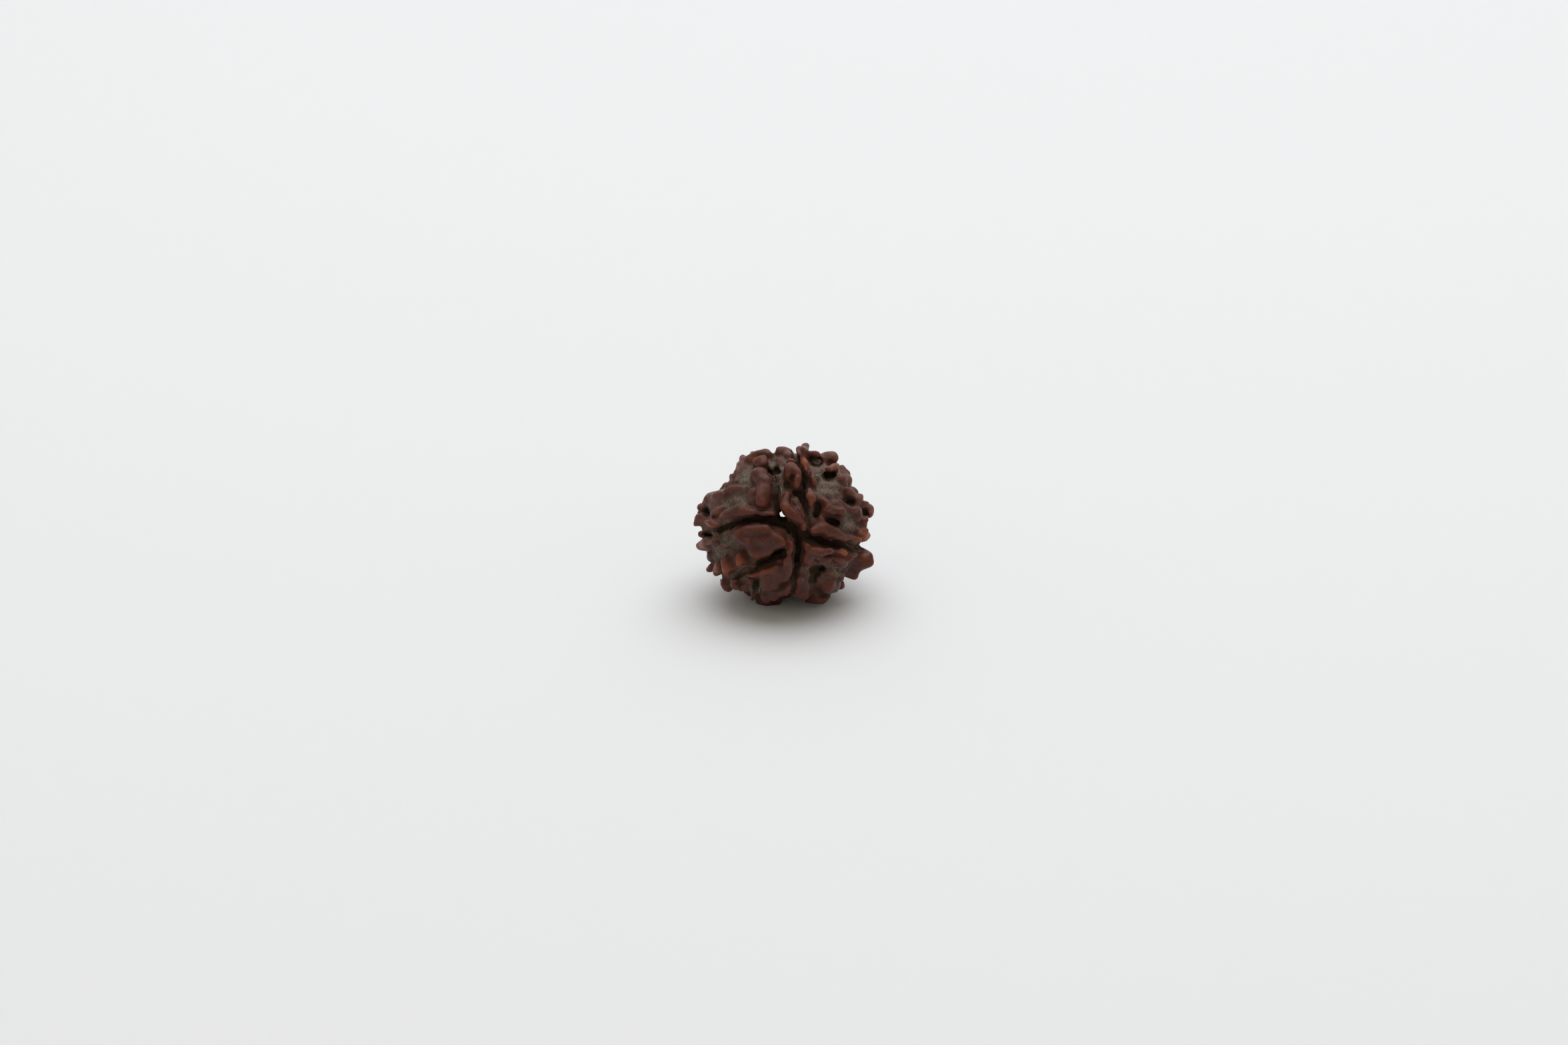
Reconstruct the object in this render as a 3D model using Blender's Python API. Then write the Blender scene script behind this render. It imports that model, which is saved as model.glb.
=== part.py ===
"""A rudraksha bead: the bare stone of one fruit, with six faces, lying on its side.

The stone is one solid. Its skin is where a distance field is zero: an egg-shaped core, with
rounded knuckles blended on, and six seams, a few pits and the natural bore sunk into it.

Knuckles are placed in the bead's own frame, in millimetres. Its origin is the middle of the
bead, +x is its right and +y its top as seen from the end that faces forwards, and +z runs out
of that end. The bead is then leant back by LEAN and set on the floor.
"""

import math

import bmesh
import bpy
import numpy as np
import openvdb

MM = 0.001

# Driving dimensions, in millimetres. Knuckles reach this far out of the core at most, and their
# strokes lie about this high over it.
CORE_HALF = np.array([9.2, 8.3, 8.1])
KNUCKLE_REACH = 3.2
STROKE_LIFT = 0.8
BORE_RADIUS = 0.58
BORE_FRONT = np.array([0.05, 1.4, 7.4])
BORE_BACK = np.array([0.05, 1.4, -10.5])
FLOOR_BELOW_MIDDLE = 9.55
FOOT_SINK = 0.32
CUTTER_SIZE = np.array([30, 30, 3])
LEAN = math.radians(24)

# The core is flatter on one shoulder: which way it faces, its share of the size, its spread.
SHOULDER = np.array([-0.81, 0.57, -0.14])
SHOULDER_DEPTH = 0.16
SHOULDER_SPREAD = 0.07

# How widely the shapes run into each other, how uneven the walls of the cuts are, and the crease
# where two knuckles meet. A cut is worked out to this margin round it.
CORE_BLEND = 1.1
KNUCKLE_BLEND = 0.13
STROKE_BLEND = 0.35
CUT_BLEND = 0.35
CUT_MARGIN = 0.5
CUT_ROUGHNESS = 0.07
CUT_ROUGH_LENGTH = 2.2
SKIRT_FLARE = 0.26
CREASE_DEPTH = 0.38
CREASE_WIDTH = 0.28

# How far the valleys between the knuckles are filled over the core.
VALLEY_FILL = 0.4

# Behind the rim a seam has this half width, deepens over these degrees from the front pole, and
# stops short of the rear one. It is cut from this share of the core's size inwards.
BACK_SEAM_WIDTH = 0.24
BACK_SEAM_DEPTH = 0.5
SEAM_DEEPENS = (90, 112)
SEAM_END = 170
SEAM_BACK_POINTS = 14
SEAM_OVER = 1.16
SEAM_STEP = 0.025

# Pits are drilled backwards from this far in front of the middle.
PIT_TOP = 11

# The surface wanders sideways, and rises and falls, by sine waves of these heights and lengths.
WANDER = 0.04
WANDER_LENGTH = 3.4
SWELL = 0.06
SWELL_LENGTH = 2.6

# The grid's step, the triangles to keep, and the seed of all that is left to chance.
VOXEL = 0.3
TRIANGLES = 11500
SEED = 6

# A distance farther than any in the grid, and a guard against dividing by zero.
FAR = 50.0
TINY = 1e-9

# Each knuckle is how far it stands out of the core, then its strokes: the points (x, y, radius)
# that each runs through. They go round the front end from lobe to lobe.
UPPER_LEFT_LOBE = [
    (2.3, [(-3.5, 6.3, 0.65), (-2.9, 6.0, 1.0), (-2.45, 5.0, 1.05), (-2.4, 3.9, 1.0), (-2.7, 2.9, 0.95)]),
    (1.75, [(-3.0, 4.4, 0.8), (-3.4, 3.5, 0.9), (-3.4, 2.9, 0.85)]),
    (
        1.7,
        [(-7.5, 1.05, 0.4), (-6.6, 1.35, 0.6), (-5.5, 1.6, 0.75), (-4.6, 1.6, 0.75), (-3.4, 1.45, 0.6)],
        [(-3.4, 1.45, 0.6), (-2.2, 1.35, 0.5), (-1.3, 1.25, 0.4)],
    ),
    (1.2, [(-8.6, 1.1, 0.5), (-7.9, 1.75, 0.5), (-7.2, 2.2, 0.4)]),
    (1.7, [(-9.3, 0.25, 0.42), (-8.6, 0.1, 0.5), (-8.1, -0.15, 0.4)]),
    (1.85, [(-10.3, 0.75, 0.65), (-10.35, 0.1, 0.65)]),
    (1.6, [(-10.0, 2.1, 0.65)]),
    (1.5, [(-9.5, 2.7, 0.6), (-8.9, 3.2, 0.75), (-8.0, 3.4, 0.7), (-7.3, 3.5, 0.65)]),
    (1.1, [(-9.0, 2.5, 0.6), (-8.0, 2.7, 0.6)]),
    (1.2, [(-6.9, 4.6, 0.3), (-6.35, 5.3, 0.35), (-6.3, 6.0, 0.35)]),
    (1.4, [(-5.75, 5.3, 0.5), (-5.6, 6.2, 0.55), (-5.1, 7.2, 0.55), (-4.85, 8.0, 0.7)]),
    (1.2, [(-6.9, 4.1, 0.35), (-5.9, 4.6, 0.45), (-5.3, 4.3, 0.45), (-4.7, 4.1, 0.35)]),
    (0.75, [(-4.7, 5.7, 0.9), (-4.5, 4.9, 0.8)]),
    (1.65, [(-4.4, 8.0, 0.65), (-3.2, 8.35, 0.7), (-2.2, 8.55, 0.8), (-1.75, 8.5, 0.7)]),
    (
        2.0,
        [(-3.35, 8.0, 0.33), (-2.8, 7.85, 0.55), (-2.35, 7.6, 0.5)],
        [(-2.4, 8.2, 0.4), (-2.3, 7.6, 0.45)],
    ),
    (1.1, [(-1.75, 7.7, 0.4), (-1.5, 7.0, 0.35), (-1.3, 6.4, 0.3)]),
    (0.8, [(-6.2, 2.9, 0.4), (-5.2, 2.7, 0.4)]),
]
TOP_LOBE = [
    (1.6, [(-0.4, 8.75, 0.8), (0.4, 8.7, 0.85), (0.75, 8.3, 0.6)]),
    (1.5, [(0.8, 7.85, 0.35), (1.4, 7.7, 0.42)]),
    (0.9, [(-0.3, 7.8, 0.6), (0.1, 7.2, 0.5)]),
    (
        2.0,
        [(0.55, 6.0, 0.45), (0.65, 6.7, 0.5), (1.15, 6.85, 0.6), (1.65, 6.2, 0.55), (1.75, 5.3, 0.5)],
        [(1.75, 5.3, 0.5), (1.65, 4.65, 0.35)],
    ),
    (1.4, [(0.95, 6.1, 0.5), (1.2, 5.6, 0.4)]),
    (
        2.0,
        [(0.45, 3.75, 0.4), (0.25, 2.9, 0.5), (0.4, 2.15, 0.6), (0.95, 1.5, 0.66), (1.65, 0.95, 0.6)],
        [(1.65, 0.95, 0.6), (2.3, 0.4, 0.4)],
    ),
    (1.7, [(1.8, 2.0, 0.45), (2.15, 1.1, 0.42), (2.45, 0.2, 0.35), (2.5, -0.4, 0.3)]),
    (1.3, [(1.2, 2.8, 0.5), (1.5, 2.2, 0.5)]),
    (0.9, [(-0.15, 6.6, 0.4), (-0.25, 5.2, 0.4)]),
]
RIGHT_LOBE = [
    (1.95, [(2.7, 9.4, 0.6), (2.45, 8.95, 0.5)], [(1.95, 8.95, 0.6), (1.9, 8.5, 0.45)]),
    (1.65, [(2.9, 8.75, 0.45), (3.9, 8.55, 0.48), (4.9, 8.3, 0.55), (5.7, 8.3, 0.6), (6.15, 8.25, 0.7)]),
    (1.2, [(5.2, 7.7, 0.5), (5.9, 7.6, 0.5)]),
    (1.0, [(4.9, 7.1, 0.35), (4.3, 6.7, 0.3)]),
    (2.1, [(2.5, 8.1, 0.2), (2.7, 7.4, 0.38), (2.8, 6.7, 0.25)]),
    (2.0, [(5.6, 6.75, 0.45), (6.2, 7.0, 0.5), (6.6, 7.2, 0.35)]),
    (1.5, [(7.2, 6.8, 0.55), (7.6, 6.2, 0.65), (7.75, 5.3, 0.65)]),
    (1.5, [(6.6, 5.8, 0.5), (7.2, 5.5, 0.55), (7.6, 5.0, 0.4)]),
    (1.7, [(3.55, 6.3, 0.42), (3.4, 5.6, 0.42), (3.6, 5.0, 0.3)]),
    (1.1, [(4.1, 5.8, 0.3), (4.7, 5.7, 0.25)]),
    (1.0, [(4.6, 4.9, 0.6), (5.6, 4.5, 0.6), (6.6, 4.3, 0.6)]),
    (1.0, [(5.0, 3.8, 0.5), (6.3, 3.7, 0.5), (7.0, 3.3, 0.4)]),
    (2.1, [(3.15, 4.4, 0.38), (3.35, 3.6, 0.55), (3.45, 2.95, 0.6), (3.3, 2.5, 0.45)]),
    (
        1.9,
        [(5.25, 2.8, 0.35), (5.4, 2.2, 0.5), (5.3, 1.8, 0.5)],
        [(5.1, 1.7, 0.5), (5.9, 1.75, 0.6), (6.8, 1.6, 0.6), (7.35, 1.3, 0.4)],
    ),
    (1.3, [(6.2, 2.3, 0.5), (7.0, 2.2, 0.45)]),
    (1.4, [(4.65, 1.1, 0.4), (4.6, 0.5, 0.4)]),
    (1.6, [(7.7, 4.2, 0.5), (8.4, 3.75, 0.55), (8.75, 3.2, 0.42)]),
    (1.2, [(7.1, 3.0, 0.35), (7.3, 2.4, 0.35), (8.0, 2.1, 0.4)]),
    (1.4, [(8.4, 1.9, 0.6), (8.9, 1.6, 0.7), (9.0, 0.9, 0.6)]),
    (1.5, [(9.4, 3.35, 0.5), (9.5, 2.9, 0.4)]),
    (1.7, [(9.9, 2.6, 0.45), (10.4, 2.1, 0.5), (10.45, 1.6, 0.5), (10.2, 1.0, 0.42), (9.95, 0.5, 0.4)]),
    (1.5, [(10.1, -0.4, 0.45)]),
    (1.7, [(9.2, -0.75, 0.4), (9.9, -0.85, 0.4), (10.25, -1.3, 0.5), (9.8, -1.6, 0.4)]),
    (
        1.7,
        [(3.5, -0.6, 0.55), (4.5, -0.4, 0.8), (5.3, -0.65, 0.75), (6.4, -1.15, 0.6), (7.8, -1.5, 0.45)],
        [(7.8, -1.5, 0.45), (9.3, -1.75, 0.38)],
    ),
    (1.2, [(7.3, -0.4, 0.5), (8.2, -0.3, 0.5)]),
    (1.2, [(3.0, 0.8, 0.4), (3.2, 0.2, 0.4)]),
]
LOWER_RIGHT_LOBE = [
    (2.1, [(3.2, -3.2, 0.8), (4.5, -3.15, 0.6), (5.8, -3.1, 0.5), (6.9, -3.15, 0.36), (7.6, -3.4, 0.25)]),
    (1.9, [(2.95, -2.7, 0.7), (2.95, -3.6, 0.85), (3.2, -4.1, 0.8)]),
    (1.6, [(4.0, -3.8, 0.65), (5.4, -3.95, 0.6)]),
    (
        1.7,
        [(6.3, -4.0, 0.4), (7.0, -4.6, 0.45), (7.4, -4.95, 0.35)],
        [(7.3, -4.5, 0.5), (8.2, -3.9, 0.45), (9.1, -3.65, 0.3)],
    ),
    (
        2.0,
        [(9.6, -3.2, 0.35), (10.2, -3.9, 0.65), (10.2, -4.5, 0.65), (9.5, -5.2, 0.65), (8.75, -6.15, 0.6)],
    ),
    (1.5, [(8.9, -2.75, 0.25), (9.7, -3.0, 0.3)]),
    (1.7, [(1.7, -6.3, 0.72), (2.05, -7.4, 1.02), (2.3, -8.45, 1.1)]),
    (2.0, [(5.2, -7.3, 1.2), (6.0, -7.4, 1.2)]),
    (1.8, [(3.7, -8.85, 0.8), (4.6, -8.95, 0.8), (5.5, -8.6, 0.6)]),
    (1.2, [(5.6, -5.7, 0.3), (6.7, -6.0, 0.3), (7.3, -6.1, 0.25)]),
    (1.3, [(7.1, -6.6, 0.3), (7.25, -7.0, 0.2)]),
    (1.3, [(6.8, -7.9, 0.3)]),
]
BOTTOM_LOBE = [
    (1.0, [(-0.3, -4.2, 0.4), (-1.9, -4.85, 0.35)]),
    (
        1.75,
        [(0.85, -2.2, 0.35), (0.75, -3.0, 0.4), (0.6, -3.8, 0.5)],
        [(0.6, -3.8, 0.5), (0.45, -4.9, 0.65), (0.3, -5.5, 0.8), (0.2, -6.2, 0.75)],
        [(-0.4, -5.6, 1.1), (-1.4, -6.7, 1.2), (-1.9, -7.1, 0.9)],
        [(-1.4, -6.4, 1.0), (-2.6, -6.2, 0.7)],
        [(-0.9, -5.1, 0.5), (-2.2, -5.45, 0.5), (-3.4, -5.8, 0.45), (-4.2, -6.0, 0.35)],
    ),
    (1.5, [(-4.1, -6.8, 0.35), (-3.95, -7.6, 0.33)]),
    (1.3, [(-4.6, -7.2, 0.35), (-4.65, -8.2, 0.38)]),
    (1.9, [(-2.25, -9.0, 0.62), (-1.2, -8.7, 0.6), (0.0, -8.1, 0.55), (0.7, -7.4, 0.5)]),
    (1.3, [(-3.75, -9.1, 0.3), (-3.6, -8.3, 0.3)]),
    (1.6, [(-7.15, -7.0, 0.75), (-6.8, -7.35, 0.8)]),
    (1.9, [(-6.0, -6.7, 0.55), (-5.85, -7.2, 0.62)]),
    (1.4, [(-5.25, -7.8, 0.4)]),
    (1.5, [(-7.55, -6.45, 0.5)]),
    (1.1, [(-7.2, -6.0, 0.4), (-6.4, -6.1, 0.35)]),
    (1.0, [(-5.0, -6.3, 0.4), (-4.9, -6.9, 0.4)]),
]
LOWER_LEFT_LOBE = [
    (
        2.0,
        [(-5.3, -0.85, 0.75), (-4.2, -0.65, 0.75), (-3.0, -0.45, 0.85), (-2.1, -0.6, 0.9)],
        [(-2.1, -0.6, 0.9), (-1.1, -1.25, 0.75)],
        [(-1.1, -1.25, 0.75), (-0.3, -1.9, 0.5)],
        [(-5.2, -1.5, 0.8), (-4.2, -2.0, 0.7), (-3.5, -3.1, 0.7), (-3.2, -3.5, 0.6)],
        [(-3.3, -3.4, 0.65), (-2.0, -2.9, 0.6), (-0.8, -2.4, 0.5), (0.2, -2.3, 0.3)],
        [(-3.2, -1.7, 0.75), (-2.1, -1.9, 0.75), (-1.4, -2.1, 0.7)],
    ),
    (1.9, [(-10.1, -2.4, 0.65), (-9.3, -2.25, 0.55), (-8.4, -2.0, 0.4)]),
    (1.5, [(-8.6, -2.75, 0.35), (-7.7, -2.65, 0.38), (-7.0, -2.9, 0.3)]),
    (1.4, [(-9.95, -1.1, 0.45), (-9.6, -0.75, 0.35), (-8.6, -0.75, 0.3)]),
    (1.9, [(-7.2, -4.2, 0.4), (-6.9, -5.0, 0.6), (-6.9, -5.5, 0.7)]),
    (1.75, [(-8.0, -5.0, 0.4), (-8.15, -5.7, 0.52)]),
    (1.7, [(-8.9, -5.0, 0.42), (-9.0, -5.4, 0.5)]),
    (1.4, [(-9.05, -3.8, 0.35), (-9.1, -4.4, 0.36)]),
    (2.1, [(-5.45, -4.0, 0.35), (-5.3, -4.7, 0.42)]),
    (1.0, [(-6.9, -3.3, 0.4), (-6.0, -3.3, 0.4)]),
    (0.8, [(-8.4, -3.6, 0.35), (-7.6, -3.4, 0.35)]),
    (0.8, [(-7.0, -1.5, 0.5), (-6.6, -0.5, 0.5)]),
]

# Knuckles behind the rim, as (x, y, z, radius).
RIM = [
    (-10.2, 1.5, -0.6, 0.55),
    (-10.0, 0.5, -1.6, 0.6),
    (-10.05, -1.15, -0.5, 0.55),
    (-9.5, 1.9, -1.3, 0.8),
    (-9.9, -2.2, -1.6, 0.55),
    (-8.9, -4.3, -1.3, 0.6),
    (-8.0, -5.9, -0.6, 0.55),
    (-7.3, -6.6, -1.6, 0.65),
    (-5.4, -7.5, -1.2, 0.7),
    (0.9, -7.7, -1.6, 0.6),
    (6.9, -7.2, -1.2, 0.7),
    (7.6, -5.7, -0.9, 0.6),
    (9.0, -4.9, -1.5, 0.7),
    (8.5, -2.5, -0.8, 0.5),
    (9.9, -0.9, -1.3, 0.6),
    (9.7, 1.1, -0.9, 0.6),
    (9.0, 3.0, -1.2, 0.6),
    (7.5, 5.5, -1.3, 0.7),
    (5.9, 7.5, -1.2, 0.8),
    (3.6, 8.5, -1.0, 0.6),
    (1.45, 8.0, -0.8, 0.6),
    (0.2, 8.7, -1.6, 0.7),
    (-1.35, 8.5, -0.7, 0.6),
    (3.6, 7.5, -1.6, 0.6),
    (4.7, 7.5, -1.9, 0.65),
    (4.1, 7.9, -2.5, 0.7),
    (3.5, 8.6, 0.6, 0.5),
    (4.5, 8.4, 0.6, 0.55),
    (4.0, 8.5, -0.6, 0.6),
    (4.0, 8.4, -1.7, 0.6),
    (-3.6, 8.4, -1.4, 0.7),
    (-3.8, 8.25, 0.4, 0.6),
    (-3.9, 7.4, -1.0, 0.8),
    (-5.0, 7.4, -0.9, 0.6),
    (-6.1, 5.5, -1.2, 0.6),
    (-7.0, 4.0, -1.0, 0.6),
    (-8.9, 3.1, -1.3, 0.7),
]

# Feet are the knuckles that the bead rests on, as strokes of (right, back, radius) on the floor.
FEET = [
    [(-3.0, -2.45, 0.6), (-2.0, -2.75, 0.75), (-0.8, -2.4, 0.6)],
    [(3.2, -2.1, 0.75), (4.5, -1.9, 0.9)],
    [(-0.7, 2.7, 0.9), (1.0, 2.9, 1.0)],
]

# Seams run from the bore's mouth to the rim, and on round the back to the other pole. Each is
# the points of its front part, (x, y, half width, depth below the core).
SEAMS = [
    [
        (0.2, 0.2, 0.52, 2.4),
        (-1.2, 0.45, 0.5, 2.4),
        (-2.8, 0.75, 0.36, 2.4),
        (-4.4, 0.4, 0.3, 2.0),
        (-5.9, 0.05, 0.22, 1.0),
        (-7.3, -0.6, 0.18, 0.0),
        (-8.9, -0.7, 0.12, -0.9),
    ],
    [
        (0.3, -3.1, 0.22, 1.8),
        (-0.2, -3.25, 0.32, 2.0),
        (-1.2, -3.8, 0.3, 1.8),
        (-2.6, -4.55, 0.22, 1.0),
        (-4.0, -5.2, 0.16, 0.2),
        (-5.7, -5.7, 0.14, -0.4),
        (-7.15, -5.65, 0.12, -0.9),
    ],
    [
        (1.2, -0.6, 0.46, 2.4),
        (1.75, -2.0, 0.36, 2.4),
        (1.72, -3.4, 0.34, 2.4),
        (1.6, -4.7, 0.28, 1.8),
        (1.25, -5.6, 0.12, 0.2),
        (1.03, -6.6, 0.07, -1.1),
        (0.85, -8.2, 0.12, -0.2),
    ],
    [
        (1.8, -1.6, 0.25, 2.0),
        (3.2, -1.65, 0.12, 1.0),
        (4.4, -2.0, 0.33, 2.0),
        (5.6, -2.15, 0.38, 2.0),
        (6.9, -2.4, 0.22, 1.2),
        (8.0, -2.6, 0.15, -0.2),
        (9.3, -2.4, 0.12, -0.1),
    ],
    [
        (2.9, -0.2, 0.12, 0.0),
        (2.75, 0.8, 0.12, -0.5),
        (2.5, 1.9, 0.18, 0.2),
        (2.3, 3.2, 0.24, 1.2),
        (2.45, 4.2, 0.15, 0.0),
        (2.35, 5.0, 0.2, 1.0),
        (1.85, 6.0, 0.14, -0.2),
        (1.5, 6.9, 0.14, 0.0),
        (1.35, 8.8, 0.14, -0.4),
    ],
    [
        (-0.6, 1.5, 0.3, 1.6),
        (-0.9, 3.0, 0.3, 0.4),
        (-1.0, 4.3, 0.25, 0.0),
        (-1.1, 5.6, 0.2, -0.2),
        (-1.0, 6.8, 0.12, -0.6),
        (-1.3, 8.9, 0.12, -0.9),
    ],
]

# The bore's mouth opens below into a hollow where the seams meet.
MOUTH = [
    ((-0.1, 0.75, 5.5), (-0.1, 0.75, 10.5), 0.45),
    ((0.9, -0.35, 6.2), (0.9, -0.35, 10.5), 0.7),
    ((1.7, -0.9, 6.6), (1.7, -0.9, 10.5), 0.5),
    ((0.05, 1.4, -6.0), (0.05, 1.4, -11.0), 1.0),
]

# Each pit is a round-ended hole (x, y) to (x, y), its radius, and the z that it is drilled to.
PITS = [
    ((-9.35, 1.8), (-9.25, 1.35), 0.3, 0.4),
    ((-9.4, -1.15), (-8.8, -1.3), 0.33, 0.2),
    ((-1.9, 6.8), (-1.4, 6.2), 0.22, 4.5),
    ((-0.75, 6.55), (-0.65, 6.35), 0.28, 4.5),
    ((3.5, 8.0), (4.3, 7.8), 0.42, -1.2),
    ((3.8, 7.55), (4.2, 7.5), 0.35, -0.6),
    ((5.0, 6.1), (5.9, 6.05), 0.3, 2.2),
    ((5.1, 5.75), (5.6, 5.7), 0.26, 2.4),
    ((7.75, 2.9), (8.4, 2.65), 0.34, 2.1),
    ((4.15, 2.5), (4.0, 1.1), 0.26, 6.8),
    ((5.5, 0.65), (5.9, 0.55), 0.34, 5.6),
    ((5.9, 0.5), (6.6, 0.35), 0.22, 5.4),
    ((2.6, -1.0), (2.9, -1.0), 0.28, 6.4),
    ((3.4, -5.4), (4.8, -5.2), 0.32, 3.8),
    ((3.6, -5.8), (4.2, -5.85), 0.38, 3.8),
    ((3.5, -6.3), (3.65, -6.9), 0.24, 3.6),
    ((0.35, 5.2), (0.5, 4.6), 0.36, 7.0),
    ((1.5, 3.8), (1.9, 3.75), 0.28, 6.5),
    ((10.0, 1.65), (9.95, 1.5), 0.28, 0.6),
    ((-3.2, -6.8), (-3.3, -8.2), 0.36, 2.2),
]

# The rest of the knuckles fill the sides and the back by a seeded rule: how many are tried, and
# the least and most of their spacing, radius, height over the core, length, the thin end's share
# of the radius, and how far the middle is aside as a share of half the length.
WILD_TRIES = 6000
WILD_SPACING = (1.5, 2.3)
WILD_RADIUS = (0.6, 1.0)
WILD_PROUD = (1.3, 2.1)
WILD_LENGTH = (0.4, 2.6)
WILD_TAPER = (0.6, 1.0)
WILD_BEND = (-0.6, 0.6)

# They stay behind this z, keep this clear of a seam and of a placed knuckle, stand lower near
# the rim, and point at a seam that is near.
WILD_FRONT = -1.0
SEAM_CLEARANCE = 0.8
FRONT_CLEARANCE = 1.1
RIM_HEIGHT = ([-4.5, WILD_FRONT], [1.0, 0.65])
NEAR_SEAM = 2.2


def fullness(points):
    """One all over the core but less round its flat shoulder."""
    facing = points @ SHOULDER / np.maximum(np.linalg.norm(points, axis=-1), TINY)
    return 1 - SHOULDER_DEPTH * np.exp((facing - 1) / SHOULDER_SPREAD)


def core_distance(points):
    """About how far each point is outside the core: the ellipsoid's level over its slope."""
    points = points / fullness(points)[..., None]
    level = np.linalg.norm(points / CORE_HALF, axis=-1)
    slope = np.linalg.norm(points / CORE_HALF**2, axis=-1)
    return level * (level - 1) / np.maximum(slope, TINY)


def on_front(x, y, lift):
    """The point of the front half, lift above the core, that is seen at (x, y)."""
    half = CORE_HALF + lift
    inside = max(0.0, 1 - (x / half[0]) ** 2 - (y / half[1]) ** 2)
    return np.array([x, y, half[2] * math.sqrt(inside)])


def on_core(direction, lift):
    """The point in this direction from the middle, lift above the core."""
    return direction * fullness(direction) / np.linalg.norm(direction / (CORE_HALF + lift))


def on_floor(right, back, height):
    """A point above the floor that the leant bead lies on, in the bead's own frame."""
    sine, cosine = math.sin(LEAN), math.cos(LEAN)
    drop = height - FLOOR_BELOW_MIDDLE
    return np.array([right, back * sine + drop * cosine, drop * sine - back * cosine])


def from_segment(points, a, b):
    """Each point's offset from the nearest point of a segment, and how far along that lies."""
    along = b - a
    share = np.clip((points - a) @ along / max(along @ along, TINY), 0, 1)
    return points - a - share[..., None] * along, share


def rod_distance(points, a, b, radius_a, radius_b):
    """Distance to a round-ended rod that tapers from a to b."""
    offset, share = from_segment(points, a, b)
    return np.linalg.norm(offset, axis=-1) - radius_a - share * (radius_b - radius_a)


def ridge_distance(points, a, b, radius_a, radius_b):
    """Distance to a rod from a to b whose sides run on down towards the middle of the bead."""
    offset, share = from_segment(points, a, b)
    up = (a + b) / np.linalg.norm(a + b)
    height = offset @ up
    aside = np.sqrt(np.maximum((offset**2).sum(axis=-1) - height**2, 0))
    radius = radius_a + share * (radius_b - radius_a)
    radius = radius + SKIRT_FLARE * np.maximum(-height, 0)
    return np.hypot(aside, np.maximum(height, 0)) - radius


def blend_min(one, other, width):
    """The lesser of two distances, rounded over where they are within width of each other."""
    share = np.clip(0.5 + 0.5 * (other - one) / width, 0, 1)
    return other + (one - other) * share - width * share * (1 - share)


class Field:
    """Distances at the points of a grid: to the core, and to the nearest and next knuckle."""

    def __init__(self, voxel):
        reach = CORE_HALF + KNUCKLE_REACH
        self.voxel = voxel
        self.low = -reach
        steps = [np.arange(-r, r + voxel, voxel) for r in reach]
        self.points = np.stack(np.meshgrid(*steps, indexing="ij"), axis=-1)
        self.points += waves(self.points, 3, WANDER, WANDER_LENGTH)
        self.nearest = np.full(self.points.shape[:-1], FAR)
        self.next = self.nearest.copy()
        self.merged = np.zeros_like(self.nearest)
        self.rough = waves(self.points, 1, CUT_ROUGHNESS, CUT_ROUGH_LENGTH)[..., 0]
        self.distance = None

    def near(self, ends, margin):
        """The block of the grid that holds these points, with margin round them."""
        low = (np.min(ends, axis=0) - margin - self.low) / self.voxel
        high = (np.max(ends, axis=0) + margin - self.low) / self.voxel
        return tuple(slice(max(0, int(a)), max(1, int(b) + 2)) for a, b in zip(low, high))

    def knuckle(self, strokes):
        block = self.near([at for stroke in strokes for at, _ in stroke], KNUCKLE_REACH)
        points = self.points[block]
        ridge = np.full(points.shape[:-1], FAR)
        for stroke in strokes:
            for (a, radius_a), (b, radius_b) in zip(stroke, stroke[1:] or stroke):
                one = ridge_distance(points, a, b, radius_a, radius_b)
                ridge = blend_min(ridge, one, STROKE_BLEND)
        self.next[block] = np.minimum(self.next[block], np.maximum(self.nearest[block], ridge))
        self.nearest[block] = np.minimum(self.nearest[block], ridge)
        self.merged[block] += np.exp(-ridge / KNUCKLE_BLEND)

    def join(self):
        """Melts the knuckles into each other and the core, with a crease where two meet."""
        knuckles = -KNUCKLE_BLEND * np.log(np.maximum(self.merged, 1e-30))
        crease = CREASE_DEPTH * np.exp(-((self.next - self.nearest) / CREASE_WIDTH) ** 2)
        valleys = core_distance(self.points) - VALLEY_FILL
        self.distance = blend_min(valleys, knuckles + crease, CORE_BLEND)
        self.distance += waves(self.points, 1, SWELL, SWELL_LENGTH)[..., 0]

    def cut(self, a, b, radius_a, radius_b):
        block = self.near([a, b], max(radius_a, radius_b) + CUT_BLEND + CUT_MARGIN)
        rod = rod_distance(self.points[block], a, b, radius_a, radius_b) + self.rough[block]
        self.distance[block] = -blend_min(-self.distance[block], rod, CUT_BLEND)


def waves(points, columns, height, length):
    """Smooth values, each a sum of six sine waves, which keep the knuckles from being true rods."""
    rng = np.random.default_rng(SEED)
    values = np.zeros((*points.shape[:-1], columns))
    for column in range(columns):
        for share in (1.0, 0.9, 0.8, 0.6, 0.5, 0.45):
            heading = rng.normal(size=3)
            wave = heading / np.linalg.norm(heading) * 2 * math.pi / (length * share)
            values[..., column] += height * share * np.sin(points @ wave + rng.uniform(0, 2 * math.pi))
    return values


def front_knuckles():
    """Every hand-placed knuckle, as lists of strokes of (point, radius)."""
    lobes = UPPER_LEFT_LOBE + TOP_LOBE + RIGHT_LOBE + LOWER_RIGHT_LOBE + BOTTOM_LOBE + LOWER_LEFT_LOBE
    return [
        [[(on_front(x, y, proud - r), r) for x, y, r in stroke] for stroke in strokes]
        for proud, *strokes in lobes
    ]


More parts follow.
